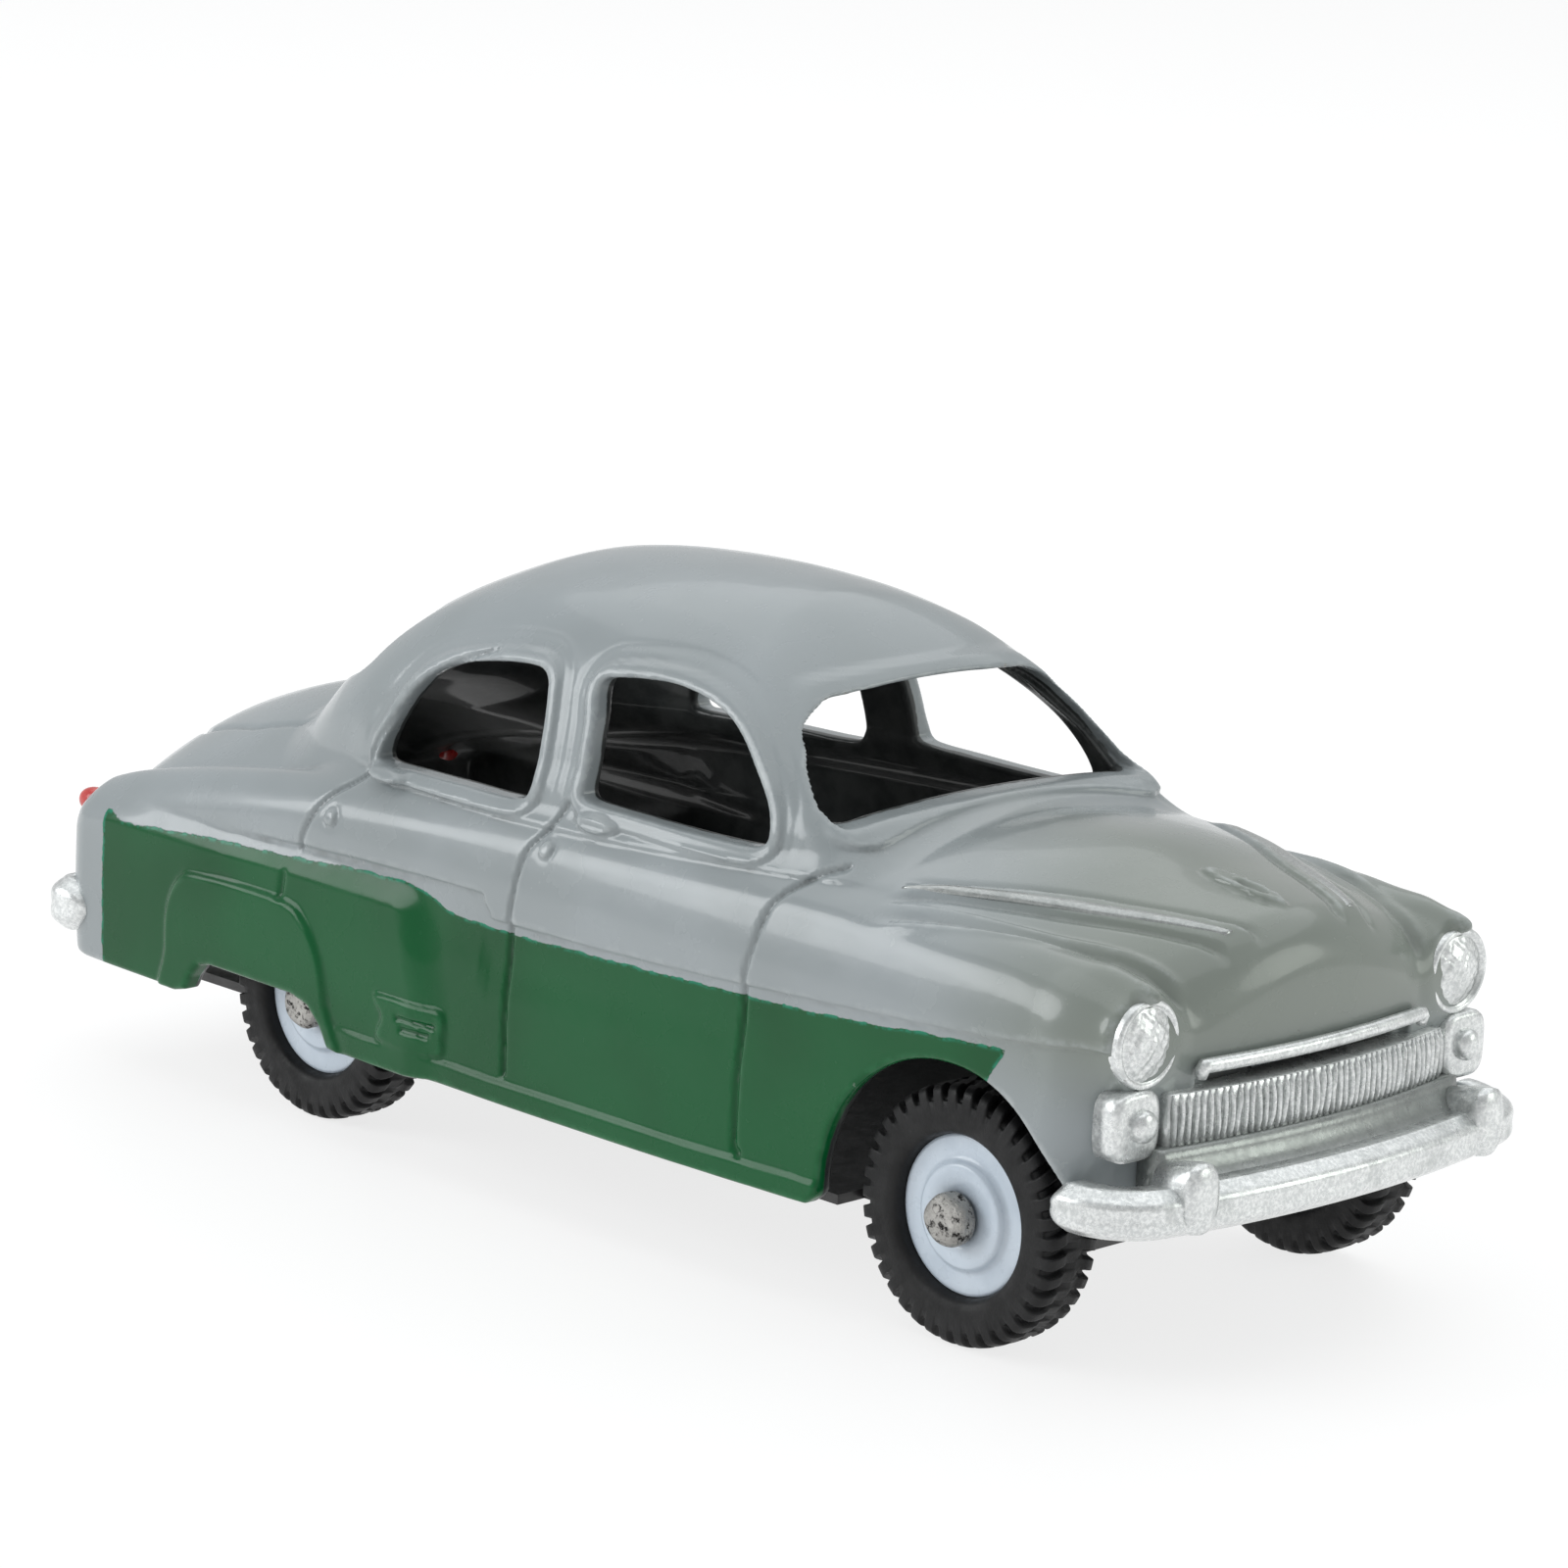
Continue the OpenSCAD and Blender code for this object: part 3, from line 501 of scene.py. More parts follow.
class Shader:
    """Small wrapper that adds nodes to a new material and links them."""

    def __init__(self, name, **inputs):
        self.material = bpy.data.materials.new(name)
        self.material.use_nodes = True
        self.tree = self.material.node_tree
        self.surface = self.tree.nodes["Principled BSDF"]
        self.set(self.surface, inputs)
        coords = self.add("ShaderNodeTexCoord")
        self.place = coords.outputs["Object"]

    def set(self, node, inputs):
        for key, value in inputs.items():
            socket = node.inputs[key if isinstance(key, int) else key.replace("_", " ")]
            if isinstance(value, bpy.types.NodeSocket):
                self.tree.links.new(value, socket)
            else:
                socket.default_value = value

    def add(self, kind, settings=None, **inputs):
        node = self.tree.nodes.new(kind)
        for key, value in (settings or {}).items():
            setattr(node, key, value)
        self.set(node, inputs)
        return node

    def noise(self, per_mm, detail=3.0, rough=0.6):
        """Noise with about per_mm features to a millimetre."""
        node = self.add("ShaderNodeTexNoise", Vector=self.place, Scale=per_mm / MM, Detail=detail,
                        Roughness=rough)
        return node.outputs["Fac"]

    def band(self, value, low, high, to_low=0.0, to_high=1.0):
        node = self.add("ShaderNodeMapRange", {"interpolation_type": "SMOOTHSTEP"})
        self.set(node, {0: value, 1: low, 2: high, 3: to_low, 4: to_high})
        return node.outputs[0]

    def math(self, kind, a, b=0.0):
        node = self.add("ShaderNodeMath", {"operation": kind})
        self.set(node, {0: a, 1: b})
        return node.outputs[0]

    def mix(self, share, a, b):
        node = self.add("ShaderNodeMix", {"data_type": "RGBA"})
        for index, value in ((0, share), (6, a), (7, b)):
            self.set(node, {index: value})
        return node.outputs[2]

    def attribute(self, name):
        return self.add("ShaderNodeAttribute", {"attribute_name": name}).outputs["Fac"]

    def bump(self, height, depth_mm, normal=None):
        inputs = {"Height": height, "Distance": depth_mm * MM, "Strength": 1.0}
        if normal is not None:
            inputs["Normal"] = normal
        return self.add("ShaderNodeBump", None, **inputs).outputs[0]


def enamel_material():
    """Pale grey enamel with green sprayed through a mask, chipped along its edges and lightened there as wear
    and painted highlight, darker in its creases, with painted shade on the nose and on the inside.
    """
    s = Shader("two_tone_enamel", Coat_Roughness=0.06)
    edge = s.attribute("edge")
    ragged = s.math("ADD", s.attribute("green"), s.band(s.noise(0.8, 4), 0.3, 0.7, -0.08, 0.08))
    green = s.band(ragged, -0.03, 0.05)
    fringe = s.math("MULTIPLY", s.band(ragged, -0.1, 0.0), s.band(ragged, 0.3, 0.08))
    cloud = s.noise(0.06, 2)
    grey = s.mix(s.band(cloud, 0.35, 0.65), srgb(140, 147, 149), srgb(148, 155, 158))
    # painted shade and painted greenish reflection: the grey turns darker and greener towards the front
    grey = s.mix(s.attribute("nose"), grey, srgb(124, 131, 124))
    green_paint = s.mix(s.band(cloud, 0.35, 0.65), srgb(0, 72, 33), srgb(4, 84, 42))
    green_paint = s.mix(s.math("MULTIPLY", fringe, s.band(s.noise(1.6), 0.4, 0.6)), green_paint,
                        srgb(20, 122, 92))
    # paint worn thin and painted highlight: grey and green are lightened along the convex edges
    edge_wear_and_highlight = s.math("MULTIPLY", s.band(edge, 0.04, 0.22), s.band(s.noise(0.9, 5), 0.35, 0.65))
    grey = s.mix(s.math("MULTIPLY", edge_wear_and_highlight, 0.5), grey, srgb(176, 182, 183))
    green_paint = s.mix(s.math("MULTIPLY", edge_wear_and_highlight, 0.35), green_paint, srgb(52, 118, 78))
    paint = s.mix(green, grey, green_paint)
    # darker, mottled colour in the creases and inner corners
    crease_darkening = s.math("MULTIPLY", s.band(edge, -0.03, -0.2), s.band(s.noise(0.7, 4), 0.3, 0.75))
    paint = s.mix(s.math("MULTIPLY", crease_darkening, 0.4), paint, srgb(74, 78, 76))
    chip_noise = s.noise(0.45, 6, 0.7)
    chips = s.math("MULTIPLY", s.band(chip_noise, 0.735, 0.75), s.math("SUBTRACT", 1.0, green))
    rim_chips = s.math("MULTIPLY", s.band(edge, 0.2, 0.3), s.band(s.noise(1.3, 5, 0.7), 0.6, 0.64))
    chips = s.math("MAXIMUM", chips, rim_chips)
    bare = s.mix(s.band(s.noise(0.3), 0.45, 0.55), srgb(120, 104, 84), srgb(176, 176, 172))
    # painted shade: the inner face is coloured near black, standing in for the shade inside the body
    inside = s.math("ADD", s.attribute("inside"), s.band(s.noise(0.6, 4), 0.3, 0.7, -0.2, 0.2))
    inside = s.band(inside, 0.35, 0.75)
    inside_shade = s.mix(s.band(s.noise(0.5, 4), 0.35, 0.65), srgb(38, 42, 42), srgb(60, 63, 62))
    s.set(s.surface, {"Base Color": s.mix(inside, s.mix(chips, paint, bare), inside_shade)})
    rough = s.band(s.noise(0.25, 4), 0.3, 0.7, 0.2, 0.3)
    rough = s.math("ADD", rough, s.math("MULTIPLY", inside, 0.25))
    s.set(s.surface, {"Roughness": s.math("ADD", rough, s.math("MULTIPLY", chips, 0.3))})
    peel = s.bump(s.noise(0.35, 2, 0.5), 0.03)
    flow = s.bump(s.noise(1.4, 3, 0.6), 0.006, peel)
    lip = s.bump(green, 0.03, flow)
    chipped = s.bump(s.math("SUBTRACT", 1.0, chips), 0.03, lip)
    s.set(s.surface, {"Normal": chipped, "Coat Weight": s.band(green, 0, 1, 0.3, 0.1),
                      "Specular IOR Level": s.band(green, 0, 1, 0.42, 0.22)})
    return s.material


def silver_material():
    """Brushed-on silver paint: metallic flakes over a rough coat, dark grey on the bumper shelves as painted
    shade and a duller grey on the bonnet flutes.
    """
    s = Shader("bright_silver", Metallic=0.7, Coat_Weight=0.2, Coat_Roughness=0.2)
    flakes = s.noise(4.5, 2, 0.7)
    cloud = s.noise(0.45, 4)
    silver = s.mix(s.band(flakes, 0.35, 0.7), srgb(206, 209, 209), srgb(240, 242, 241))
    silver = s.mix(s.band(cloud, 0.5, 0.8), silver, srgb(176, 180, 179))
    # painted shade on the bumper shelves, and the flutes' own duller grey: the silver turns dark grey by this
    # attribute
    silver = s.mix(s.math("MULTIPLY", s.attribute("dull_tone_and_shade"), 0.8), silver, srgb(116, 121, 118))
    specks = s.band(s.noise(2.2, 3, 0.7), 0.7, 0.76)
    s.set(s.surface, {"Base Color": s.mix(s.math("MULTIPLY", specks, 0.6), silver, srgb(96, 98, 96))})
    s.set(s.surface, {"Roughness": s.band(s.noise(1.0, 4), 0.3, 0.7, 0.24, 0.4)})
    s.set(s.surface, {"Normal": s.bump(flakes, 0.006, s.bump(s.noise(0.7, 4), 0.04))})
    return s.material


def red_material():
    s = Shader("lamp_red", Coat_Weight=0.5, Coat_Roughness=0.1)
    red_paint = s.mix(s.band(s.noise(0.9, 4), 0.35, 0.7), srgb(176, 30, 26), srgb(204, 52, 44))
    s.set(s.surface, {"Base Color": red_paint})
    s.set(s.surface, {"Roughness": s.band(s.noise(1.5), 0.3, 0.7, 0.25, 0.42)})
    s.set(s.surface, {"Normal": s.bump(s.noise(1.0, 3), 0.05)})
    return s.material


def base_material():
    """Black japanned tinplate, with brown wear at its edges."""
    s = Shader("base_black", Coat_Weight=0.3, Coat_Roughness=0.15)
    worn = s.band(s.noise(0.5, 6, 0.7), 0.66, 0.72)
    black = s.mix(s.band(s.noise(0.1, 3), 0.3, 0.7), srgb(22, 22, 23), srgb(34, 33, 33))
    s.set(s.surface, {"Base Color": s.mix(worn, black, srgb(92, 84, 74))})
    s.set(s.surface, {"Roughness": s.band(s.noise(0.8, 4), 0.3, 0.7, 0.28, 0.5)})
    s.set(s.surface, {"Normal": s.bump(s.noise(0.4, 3), 0.04)})
    return s.material


def steel_material(name, light, dark, depth):
    """Bare steel with dark pits."""
    s = Shader(name, Metallic=0.85)
    pits = s.band(s.noise(1.8, 5, 0.75), 0.5, 0.62)
    steel = s.mix(s.band(s.noise(0.7, 4), 0.35, 0.65), light, tuple(c * 0.75 for c in light[:3]) + (1,))
    s.set(s.surface, {"Base Color": s.mix(pits, steel, dark)})
    s.set(s.surface, {"Roughness": s.band(s.noise(1.8, 4), 0.3, 0.7, 0.32, 0.6)})
    s.set(s.surface, {"Normal": s.bump(s.noise(1.6, 5, 0.7), depth)})
    return s.material


def hub_material():
    """Pale blue-grey enamel on the cast hubs."""
    s = Shader("hub_enamel", Coat_Weight=0.45, Coat_Roughness=0.12)
    pale = s.mix(s.band(s.noise(0.25, 3), 0.35, 0.65), srgb(186, 198, 210), srgb(198, 209, 220))
    specks = s.band(s.noise(1.9, 5, 0.75), 0.71, 0.75)
    s.set(s.surface, {"Base Color": s.mix(specks, pale, srgb(120, 124, 128))})
    s.set(s.surface, {"Roughness": s.band(s.noise(0.9, 3), 0.3, 0.7, 0.24, 0.4)})
    s.set(s.surface, {"Normal": s.bump(s.noise(0.5, 3), 0.05, s.bump(s.noise(2.0, 2), 0.008))})
    return s.material


def rubber_material():
    """Old black rubber with dust on its high spots."""
    s = Shader("tyre_rubber", Specular_IOR_Level=0.3)
    black = s.mix(s.band(s.noise(0.3, 4), 0.35, 0.65), srgb(13, 13, 14), srgb(24, 24, 25))
    dust = s.band(s.noise(3.2, 4, 0.7), 0.68, 0.76)
    lint = s.band(s.noise(1.1, 5, 0.8), 0.7, 0.78)
    black = s.mix(s.math("MULTIPLY", s.math("MAXIMUM", dust, lint), 0.5), black, srgb(84, 84, 82))
    s.set(s.surface, {"Base Color": black})
    s.set(s.surface, {"Roughness": s.band(s.noise(0.9, 4), 0.3, 0.7, 0.42, 0.62)})
    s.set(s.surface, {"Normal": s.bump(s.noise(1.6, 5, 0.7), 0.05)})
    return s.material


# ---------------------------------------------------------------- wheels and axles

LUGS = 38


def make_tyre(name):
    """Tyre with slanted shoulder lugs, on the outline of its CAD node."""
    low, high = node_box(name)
    centre = (low + high) / 2
    width, outer = high[1] - low[1], (high[2] - low[2]) / 2
    hub_low, hub_high = node_box(name.replace("tyre", "hub"))
    inner, half = (hub_high[2] - hub_low[2]) / 2 - 0.06, width / 2 - 0.02
    around, across = ((LUGS * 20, 72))
    t = np.linspace(0, 2 * np.pi, across, endpoint=False)
    # A squared oval section between the hub seat and the tread
    power = 0.42
    c, s = np.cos(t), np.sin(t)
    radius = (inner + outer) / 2 + (outer - inner) / 2 * np.sign(c) * np.abs(c)**power
    along = half * np.sign(s) * np.abs(s)**power
    angle = np.linspace(0, 2 * np.pi, around, endpoint=False)[:, None]
    tread = step(outer - 1.1, outer - 0.5, radius)
    slant = np.abs(along) / half
    phase = (angle * LUGS / (2 * np.pi) + 0.55 * slant + (along > 0) * 0.5) % 1
    lug = step(0.26, 0.38, phase) * step(1.0, 0.9, phase)
    shoulder = step(0.28, 0.42, slant)
    cut = 0.5 * tread * shoulder * (1 - lug)
    centre_gap = 0.3 * tread * step(0.2, 0.08, np.abs(slant - 0.22))
    ring = 0.1 * np.exp(-((radius - outer + 2.0) / 0.16)**2) * (1 - tread)
    depth = np.maximum(cut, centre_gap)
    r = radius - depth * np.where(c > 0, 1, 0) * np.abs(c)**0.35
    a = along - np.sign(along) * (depth * 0.35 - ring)
    a = np.clip(a, -half, half)
    px = centre[0] + r * np.cos(angle)
    pz = centre[2] + r * np.sin(angle)
    py = centre[1] + a * np.ones_like(angle)
    rings = np.stack([px, py, pz], -1)
    piece = new_object(f"{name}_rubber", *sweep([list(map(tuple, ring)) for ring in rings], closed=True))
    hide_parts(name)
    return piece


def make_hub(name, side):
    """Pressed-looking cast hub: dished rim, raised centre and inner boss."""
    low, high = node_box(name)
    axis_x, axis_z = node_centre(name)[0], node_centre(name)[2]
    face = high[1] if side > 0 else -low[1]
    boss = low[1] if side > 0 else -high[1]
    rim = (high[2] - low[2]) / 2
    bore = 0.95
    inner_side = [(boss, bore), (boss, 1.9), (face - 3.1, 2.1), (face - 3.15, rim - 0.1),
                  (face - 2.9, rim - 0.1), (face - 2.7, rim - 0.5), (face - 1.1, rim - 0.5),
                  (face - 0.85, rim - 0.02), (face - 0.6, rim - 0.02)]
    dish = [(face - 0.48, rim - 0.1), (face - 0.44, rim - 0.28), (face - 0.5, rim - 0.55), (face - 0.52, 3.5),
            (face - 0.48, 3.28), (face - 0.3, 3.12), (face - 0.08, 3.02), (face - 0.01, 2.85), (face, 2.5),
            (face, bore)]
    profile = inner_side + dish
    v, f = lathe(profile, (0, 1, 0), (axis_x, 0, axis_z), 128)
    part = (v, f[:-2] + bore_wall(len(profile), 128))
    piece = joined(f"{name}_cast", [part if side > 0 else mirrored(part)])
    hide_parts(name)
    return piece


def bore_wall(n, segments):
    """Faces that join the last point of each profile to the first, down the bore."""
    return [(k * n + n - 1, (k + 1) % segments * n + n - 1, (k + 1) % segments * n, k * n)
            for k in range(segments)]


def make_axle(name):
    """Steel rod with a roughly riveted head on each end."""
    low, high = node_box(name)
    centre = (low + high) / 2
    reach, head = high[1], (high[2] - low[2]) / 2
    rod = 0.9
    rng = np.random.default_rng(7 if "front" in name else 11)
    parts = [lathe([(-reach + 1.2, rod), (reach - 1.2, rod)], (0, 1, 0), (centre[0], 0, centre[2]), 48)]
    for side in (1, -1):
        profile = [(reach - 1.42, rod - 0.1), (reach - 1.42, head - 0.12), (reach - 1.3, head - 0.02),
                   (reach - 0.95, head)]
        profile += [(reach - 0.75 + 0.75 * math.sin(a), head * (0.52 + 0.48 * math.cos(a)))
                    for a in np.radians(np.arange(10, 91, 10))]
        profile += [(reach - 0.01, head * 0.3), (reach, 0.001)]
        v, f = lathe(profile, (0, 1, 0), (centre[0], 0, centre[2]), 64)
        v = np.array(v)
        lobes = rng.uniform(0, 2 * np.pi, 4)
        around = np.arctan2(v[:, 2] - centre[2], v[:, 0] - centre[0])
        dent = sum(0.02 * np.sin((k + 2) * around + p) for k, p in enumerate(lobes))
        dent = dent * step(reach - 1.3, reach - 0.7, v[:, 1])
        v[:, 0] = centre[0] + (v[:, 0] - centre[0]) * (1 - 0.06 + dent)
        v[:, 2] = centre[2] + (v[:, 2] - centre[2]) * (1 - 0.06 + dent)
        part = ([tuple(p) for p in v], f)
        parts.append(part if side > 0 else mirrored(part))
    piece = joined(f"{name}_steel", parts)
    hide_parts(name)
    return piece


# ---------------------------------------------------------------- trim

def bumper_plan(face_x, half_w, main_r, corner_r, end_len, steps=28):
    """Plan of a bumper that looks along +X: rows of (x, y, angle of its face)."""
    a = math.asin((half_w - corner_r) / (main_r - corner_r))
    main_x = face_x - main_r
    cx = main_x + (main_r - corner_r) * math.cos(a)
    rows = [(main_x + main_r * math.cos(b), main_r * math.sin(b), b) for b in np.linspace(0, a, steps)]
    rows += [(cx + corner_r * math.cos(b), half_w - corner_r + corner_r * math.sin(b), b)
             for b in np.linspace(a, math.pi / 2, 16)[1:]]
    rows += [(cx - t, half_w, math.pi / 2) for t in np.linspace(0, end_len, 7)[1:]]
    return [(x, -y, -b) for x, y, b in rows[:0:-1]] + rows


def bumper_bar(plan, z0, z1, depth):
    """Full rounded bar with faint ribs along its face and domed ends."""
    mid, half = (z0 + z1) / 2, (z1 - z0) / 2
    section = []
    for t in np.linspace(-math.pi / 2, math.pi / 2, 33):
        bulge = 1 - abs(math.sin(t))**3.2
        rib = 0.05 * math.cos(6 * t)
        section.append((1 - bulge + rib * (abs(t) < 1.2), mid + half * math.sin(t)))
    section = [(depth, z0 + 0.1)] + section + [(depth, z1 - 0.1)]
    rows = len(plan)
    rings = []
    for i, (x, y, b) in enumerate(plan):
        left = min(i, rows - 1 - i)
        shrink = math.sqrt(1 - (1 - min(left, 6) / 6)**2 * 0.9)
        rings.append([(x - (d + 0.9 * (1 - shrink)) * math.cos(b), y - (d + 0.9 * (1 - shrink)) * math.sin(b),
                       mid + (z - mid) * shrink) for d, z in section])
    return sweep(rings)


def overrider(x, y, z0, z1, depth):
    """Rounded upright block, swept along x so that it runs back over the shelf."""
    rings = []
    for t, scale in ((0, 0.45), (0.12, 0.8), (0.35, 0.97), (0.8, 1.0), (1.6, 0.98), (depth, 0.9)):
        ring = []
        for a in np.linspace(0, 2 * math.pi, 28, endpoint=False):
            c, s = math.cos(a), math.sin(a)
            w = 1.3 * scale * math.copysign(abs(c)**0.8, c)
            h = (z1 - z0) / 2 * scale * math.copysign(abs(s)**0.75, s)
            ring.append((x - t, y + w, (z0 + z1) / 2 + h - 0.12 * t))
        rings.append(ring[::-1])
    return sweep(rings)


def arc_slab(face_x, radius, half_w, depth, z0, z1, steps=40):
    """Slab with a curved face that looks along +X."""
    rings = []
    for b in np.linspace(-1, 1, steps) * math.asin(half_w / radius):
        c, s = math.cos(b), math.sin(b)
        outer = (face_x - radius + radius * c, radius * s)
        back = (outer[0] - depth * c, outer[1] - depth * s)
        edge = 0.12
        front = (outer[0] - edge * c, outer[1] - edge * s)
        rings.append([(*back, z0), (*front, z0), (*outer, z0 + edge), (*outer, z1 - edge), (*front, z1),
                      (*back, z1)])
    return sweep(rings)


def bumper_shelf(face_x, radius, half_w, top_z, steps=40):
    """Hollow ramp that runs back and up from the bar to the casting."""
    rise = top_z - 11.6
    section = [(4.6, 10.2), (1.0, 10.2), (0.6, 10.6), (0.6, 11.5), (0.75, 11.6)]
    section += [(0.75 + 2.2 * math.sin(a), 11.6 + rise * (1 - math.cos(a)))
                for a in np.radians(np.arange(15, 91, 15))]
    section += [(4.6, top_z)]
    rings = []
    for b in np.linspace(-1, 1, steps) * math.asin(half_w / radius):
        c, s = math.cos(b), math.sin(b)
        rings.append([(face_x - radius + (radius - d) * c, (radius - d) * s, z) for d, z in section])
    return sweep(rings)


def make_bumper(name):
    """Bar, two overriders and the shelf that ties them to the casting."""
    low, high = node_box(name)
    front = high[0] > 0
    face = high[0] if front else -low[0]
    half_w, z0, top = high[1], low[2], high[2]
    z1 = z0 + (2.85 if front else 3.5)
    # The rear bar is nearly straight and wraps a little past the ends of its node
    if front:
        main_r, corner_r, end_len, depth, wider = 75, 5, 1.2, 2.25, -0.02
        over_back, over_y, over_depth = 0.75, 12.5, 3.2
        shelf_half_w, shelf_top = 13.6, 13.6
    else:
        main_r, corner_r, end_len, depth, wider = 400, 1.75, 2.2, 1.65, 0.16
        over_back, over_y, over_depth = 0.25, 11.8, 2.6
        shelf_half_w, shelf_top = 14.0, 12.4
    plan = bumper_plan(face - 0.02, half_w + wider, main_r, corner_r, end_len)
    over = overrider(face - over_back, over_y, z0 + 0.25, top - 0.02, over_depth)
    shelf = bumper_shelf(face, main_r, shelf_half_w, shelf_top)
    parts = [bumper_bar(plan, z0 + 0.02, z1, depth), over, mirrored(over), shelf]
    if not front:
        parts = [([(-x, -y, z) for x, y, z in v], f) for v, f in parts]
    piece = joined(f"{name}_metal", parts)
    # the shelf gets painted shade: the silver is darkened over all of it
    dull_tone_and_shade = np.zeros(len(piece.data.vertices))
    dull_tone_and_shade[-len(shelf[0]):] = 1
    set_attribute(piece, "dull_tone_and_shade", dull_tone_and_shade)
    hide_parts(name)
    return piece


GRILLE_R = 62
RIBS = 46


def rounded_plate(x0, x1, y, z, half_w, half_h, power=0.55):
    """Plate with a squarish rounded outline in the Y-Z plane and a softened front edge."""
    rings = []
    for x, scale in ((x0, 1.0), (x1 - 0.35, 1.0), (x1 - 0.1, 0.95), (x1, 0.82)):
        ring = []
        for a in np.linspace(0, 2 * math.pi, 40, endpoint=False):
            c, s = math.cos(a), math.sin(a)
            ring.append((x, y + half_w * scale * math.copysign(abs(c)**power, c),
                         z + half_h * scale * math.copysign(abs(s)**power, s)))
        rings.append(ring)
    return sweep(rings)


def make_grille():
    high = node_box("grille")[1]
    lamp = node_centre("sidelamp_left")
    z0, z1 = 13.5, 16.55
    half_w = 11.9
    face = high[0] - 0.03
    rng = np.random.default_rng(3)
    parts = [arc_slab(face - 0.42, GRILLE_R, half_w, 2.2, z0, z1, 60)]
    for k in range(RIBS):
        y = half_w * (2 * (k + 0.5) / RIBS - 1)
        b = math.asin(y / GRILLE_R)
        wave = 0.08 * math.sin(1.9 * k) + rng.uniform(-0.05, 0.05)
        tall = (z1 - z0) / 2 - 0.06
        rings = []
        for u in np.linspace(-1, 1, 9):
            lean = wave * math.sin(2.4 * u + k)
            half = 0.155 * (1 - 0.5 * abs(u)**6)
            depth = 0.42 * (1 - 0.7 * abs(u)**4)
            ring = []
            for t in np.linspace(0, math.pi, 7):
                out = GRILLE_R - 0.47 + depth * math.sin(t)
                side = lean + half * math.cos(t)
                ring.append((face - GRILLE_R + out * math.cos(b) - side * math.sin(b),
                             out * math.sin(b) + side * math.cos(b), (z0 + z1) / 2 + tall * u))
            rings.append(ring)
        parts.append(sweep(rings))
    for sign in (1, -1):
        plate = rounded_plate(lamp[0] - 2.0, lamp[0] - 0.25, lamp[1] + 0.15, lamp[2] - 0.1, 1.85, 2.0)
        parts.append(plate if sign > 0 else mirrored(plate))
    piece = joined("grille_metal", parts)
    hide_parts("grille")
    return piece


def make_grille_bar():
    high = node_box("grille_bar")[1]
    half_w, z, r = 9.45, high[2] - 0.46, 0.43
    face = high[0] - 0.45 - 0.01
    path = []
    for b in np.linspace(-1, 1, 61) * math.asin(half_w / GRILLE_R):
        path.append((face - GRILLE_R + GRILLE_R * math.cos(b), GRILLE_R * math.sin(b), z))
    end_x, end_y = path[-1][:2]
    ends = [(end_x - 0.02, end_y + 0.12, z - 0.2), (end_x - 0.05, end_y + 0.14, z - 0.7)]
    path = [(x, -y, h) for x, y, h in reversed(ends)] + path + ends
    rings = []
    for i, p in enumerate(path):
        before, after = Vector(path[max(i - 1, 0)]), Vector(path[min(i + 1, len(path) - 1)])
        ahead = (after - before).normalized()
        side = ahead.cross(Vector((1, 0, 0))).normalized()
        out = side.cross(ahead)
        size = r * (0.7 if i in (0, len(path) - 1) else 1)
        rings.append([tuple(Vector(p) + size * (side * math.cos(a) + out * math.sin(a)))
                      for a in np.linspace(0, 2 * math.pi, 14, endpoint=False)])
    shelf = arc_slab(face + 0.1, GRILLE_R, half_w, 2.0, z - 0.34, z + 0.12)
    piece = joined("grille_bar_metal", [sweep(rings), shelf])
    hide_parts("grille_bar")
    return piece


def make_headlamp(name):
    """Bezel ring round a shallow lens with a coarse cast texture."""
    low, high = node_box(name)
    back, rim_x = low[0] + 0.1, high[0] - 0.62
    r = (high[2] - low[2]) / 2 - 0.01
    profile = [(back, 0.001), (back, r - 0.1), (rim_x - 1.0, r - 0.05)]
    profile += [(rim_x + 0.2 * math.sin(a), r - 0.2 + 0.2 * math.cos(a)) for a in np.radians([0, 30, 60, 90])]
    profile += [(rim_x + 0.17, r - 0.34), (rim_x - 0.06, r - 0.42)]
    lens_r = r - 0.42
    profile += [(rim_x - 0.06 + 0.62 * (1 - (q / lens_r)**2), q) for q in np.linspace(lens_r, 0.001, 26)[1:]]
    v, f = lathe(profile, (1, 0, 0), (0, node_centre(name)[1], node_centre(name)[2]), 96)
    v = np.array(v)
    y, z = v[:, 1] - node_centre(name)[1], v[:, 2] - node_centre(name)[2]
    lens = step(lens_r - 0.05, lens_r - 0.3, np.hypot(y, z)) * (v[:, 0] > rim_x - 0.1)
    coarse = np.sin(5.1 * y + 0.7) * np.sin(4.7 * z + 1.1)
    pebble = coarse + 0.6 * np.sin(9.3 * y + 2.0 * z) * np.sin(8.1 * z - y)
    v[:, 0] += 0.05 * pebble * lens - 0.03 * lens
    piece = joined(f"{name}_metal", [([tuple(p) for p in v], f)])
    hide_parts(name)
    return piece


def make_button(name, direction):
    """Small domed lamp that looks along X."""
    low, high = node_box(name)
    c = node_centre(name)
    r = (high[2] - low[2]) / 2 - 0.01
    length = high[0] - low[0] - 0.02
    profile = [(0, 0.001), (0, r), (length * 0.45, r)]
    profile += [(length * (0.45 + 0.55 * math.sin(a)), r * math.cos(a)**0.8 + 0.001)
                for a in np.radians(np.arange(12, 91, 11))]
    start = (low[0] + 0.01 if direction > 0 else high[0] - 0.01, c[1], c[2])
    v, f = lathe(profile, (direction, 0, 0), start, 48)
    piece = joined(f"{name}_lens", [(v, f)])
    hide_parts(name)
    return piece


def bonnet_z(x, y):
    share = y / curve(VALLEY_Y, x)
    low = curve(VALLEY_Z, x)
    return low + (curve(CROWN_Z, x) - low) * (1 - share**1.9)


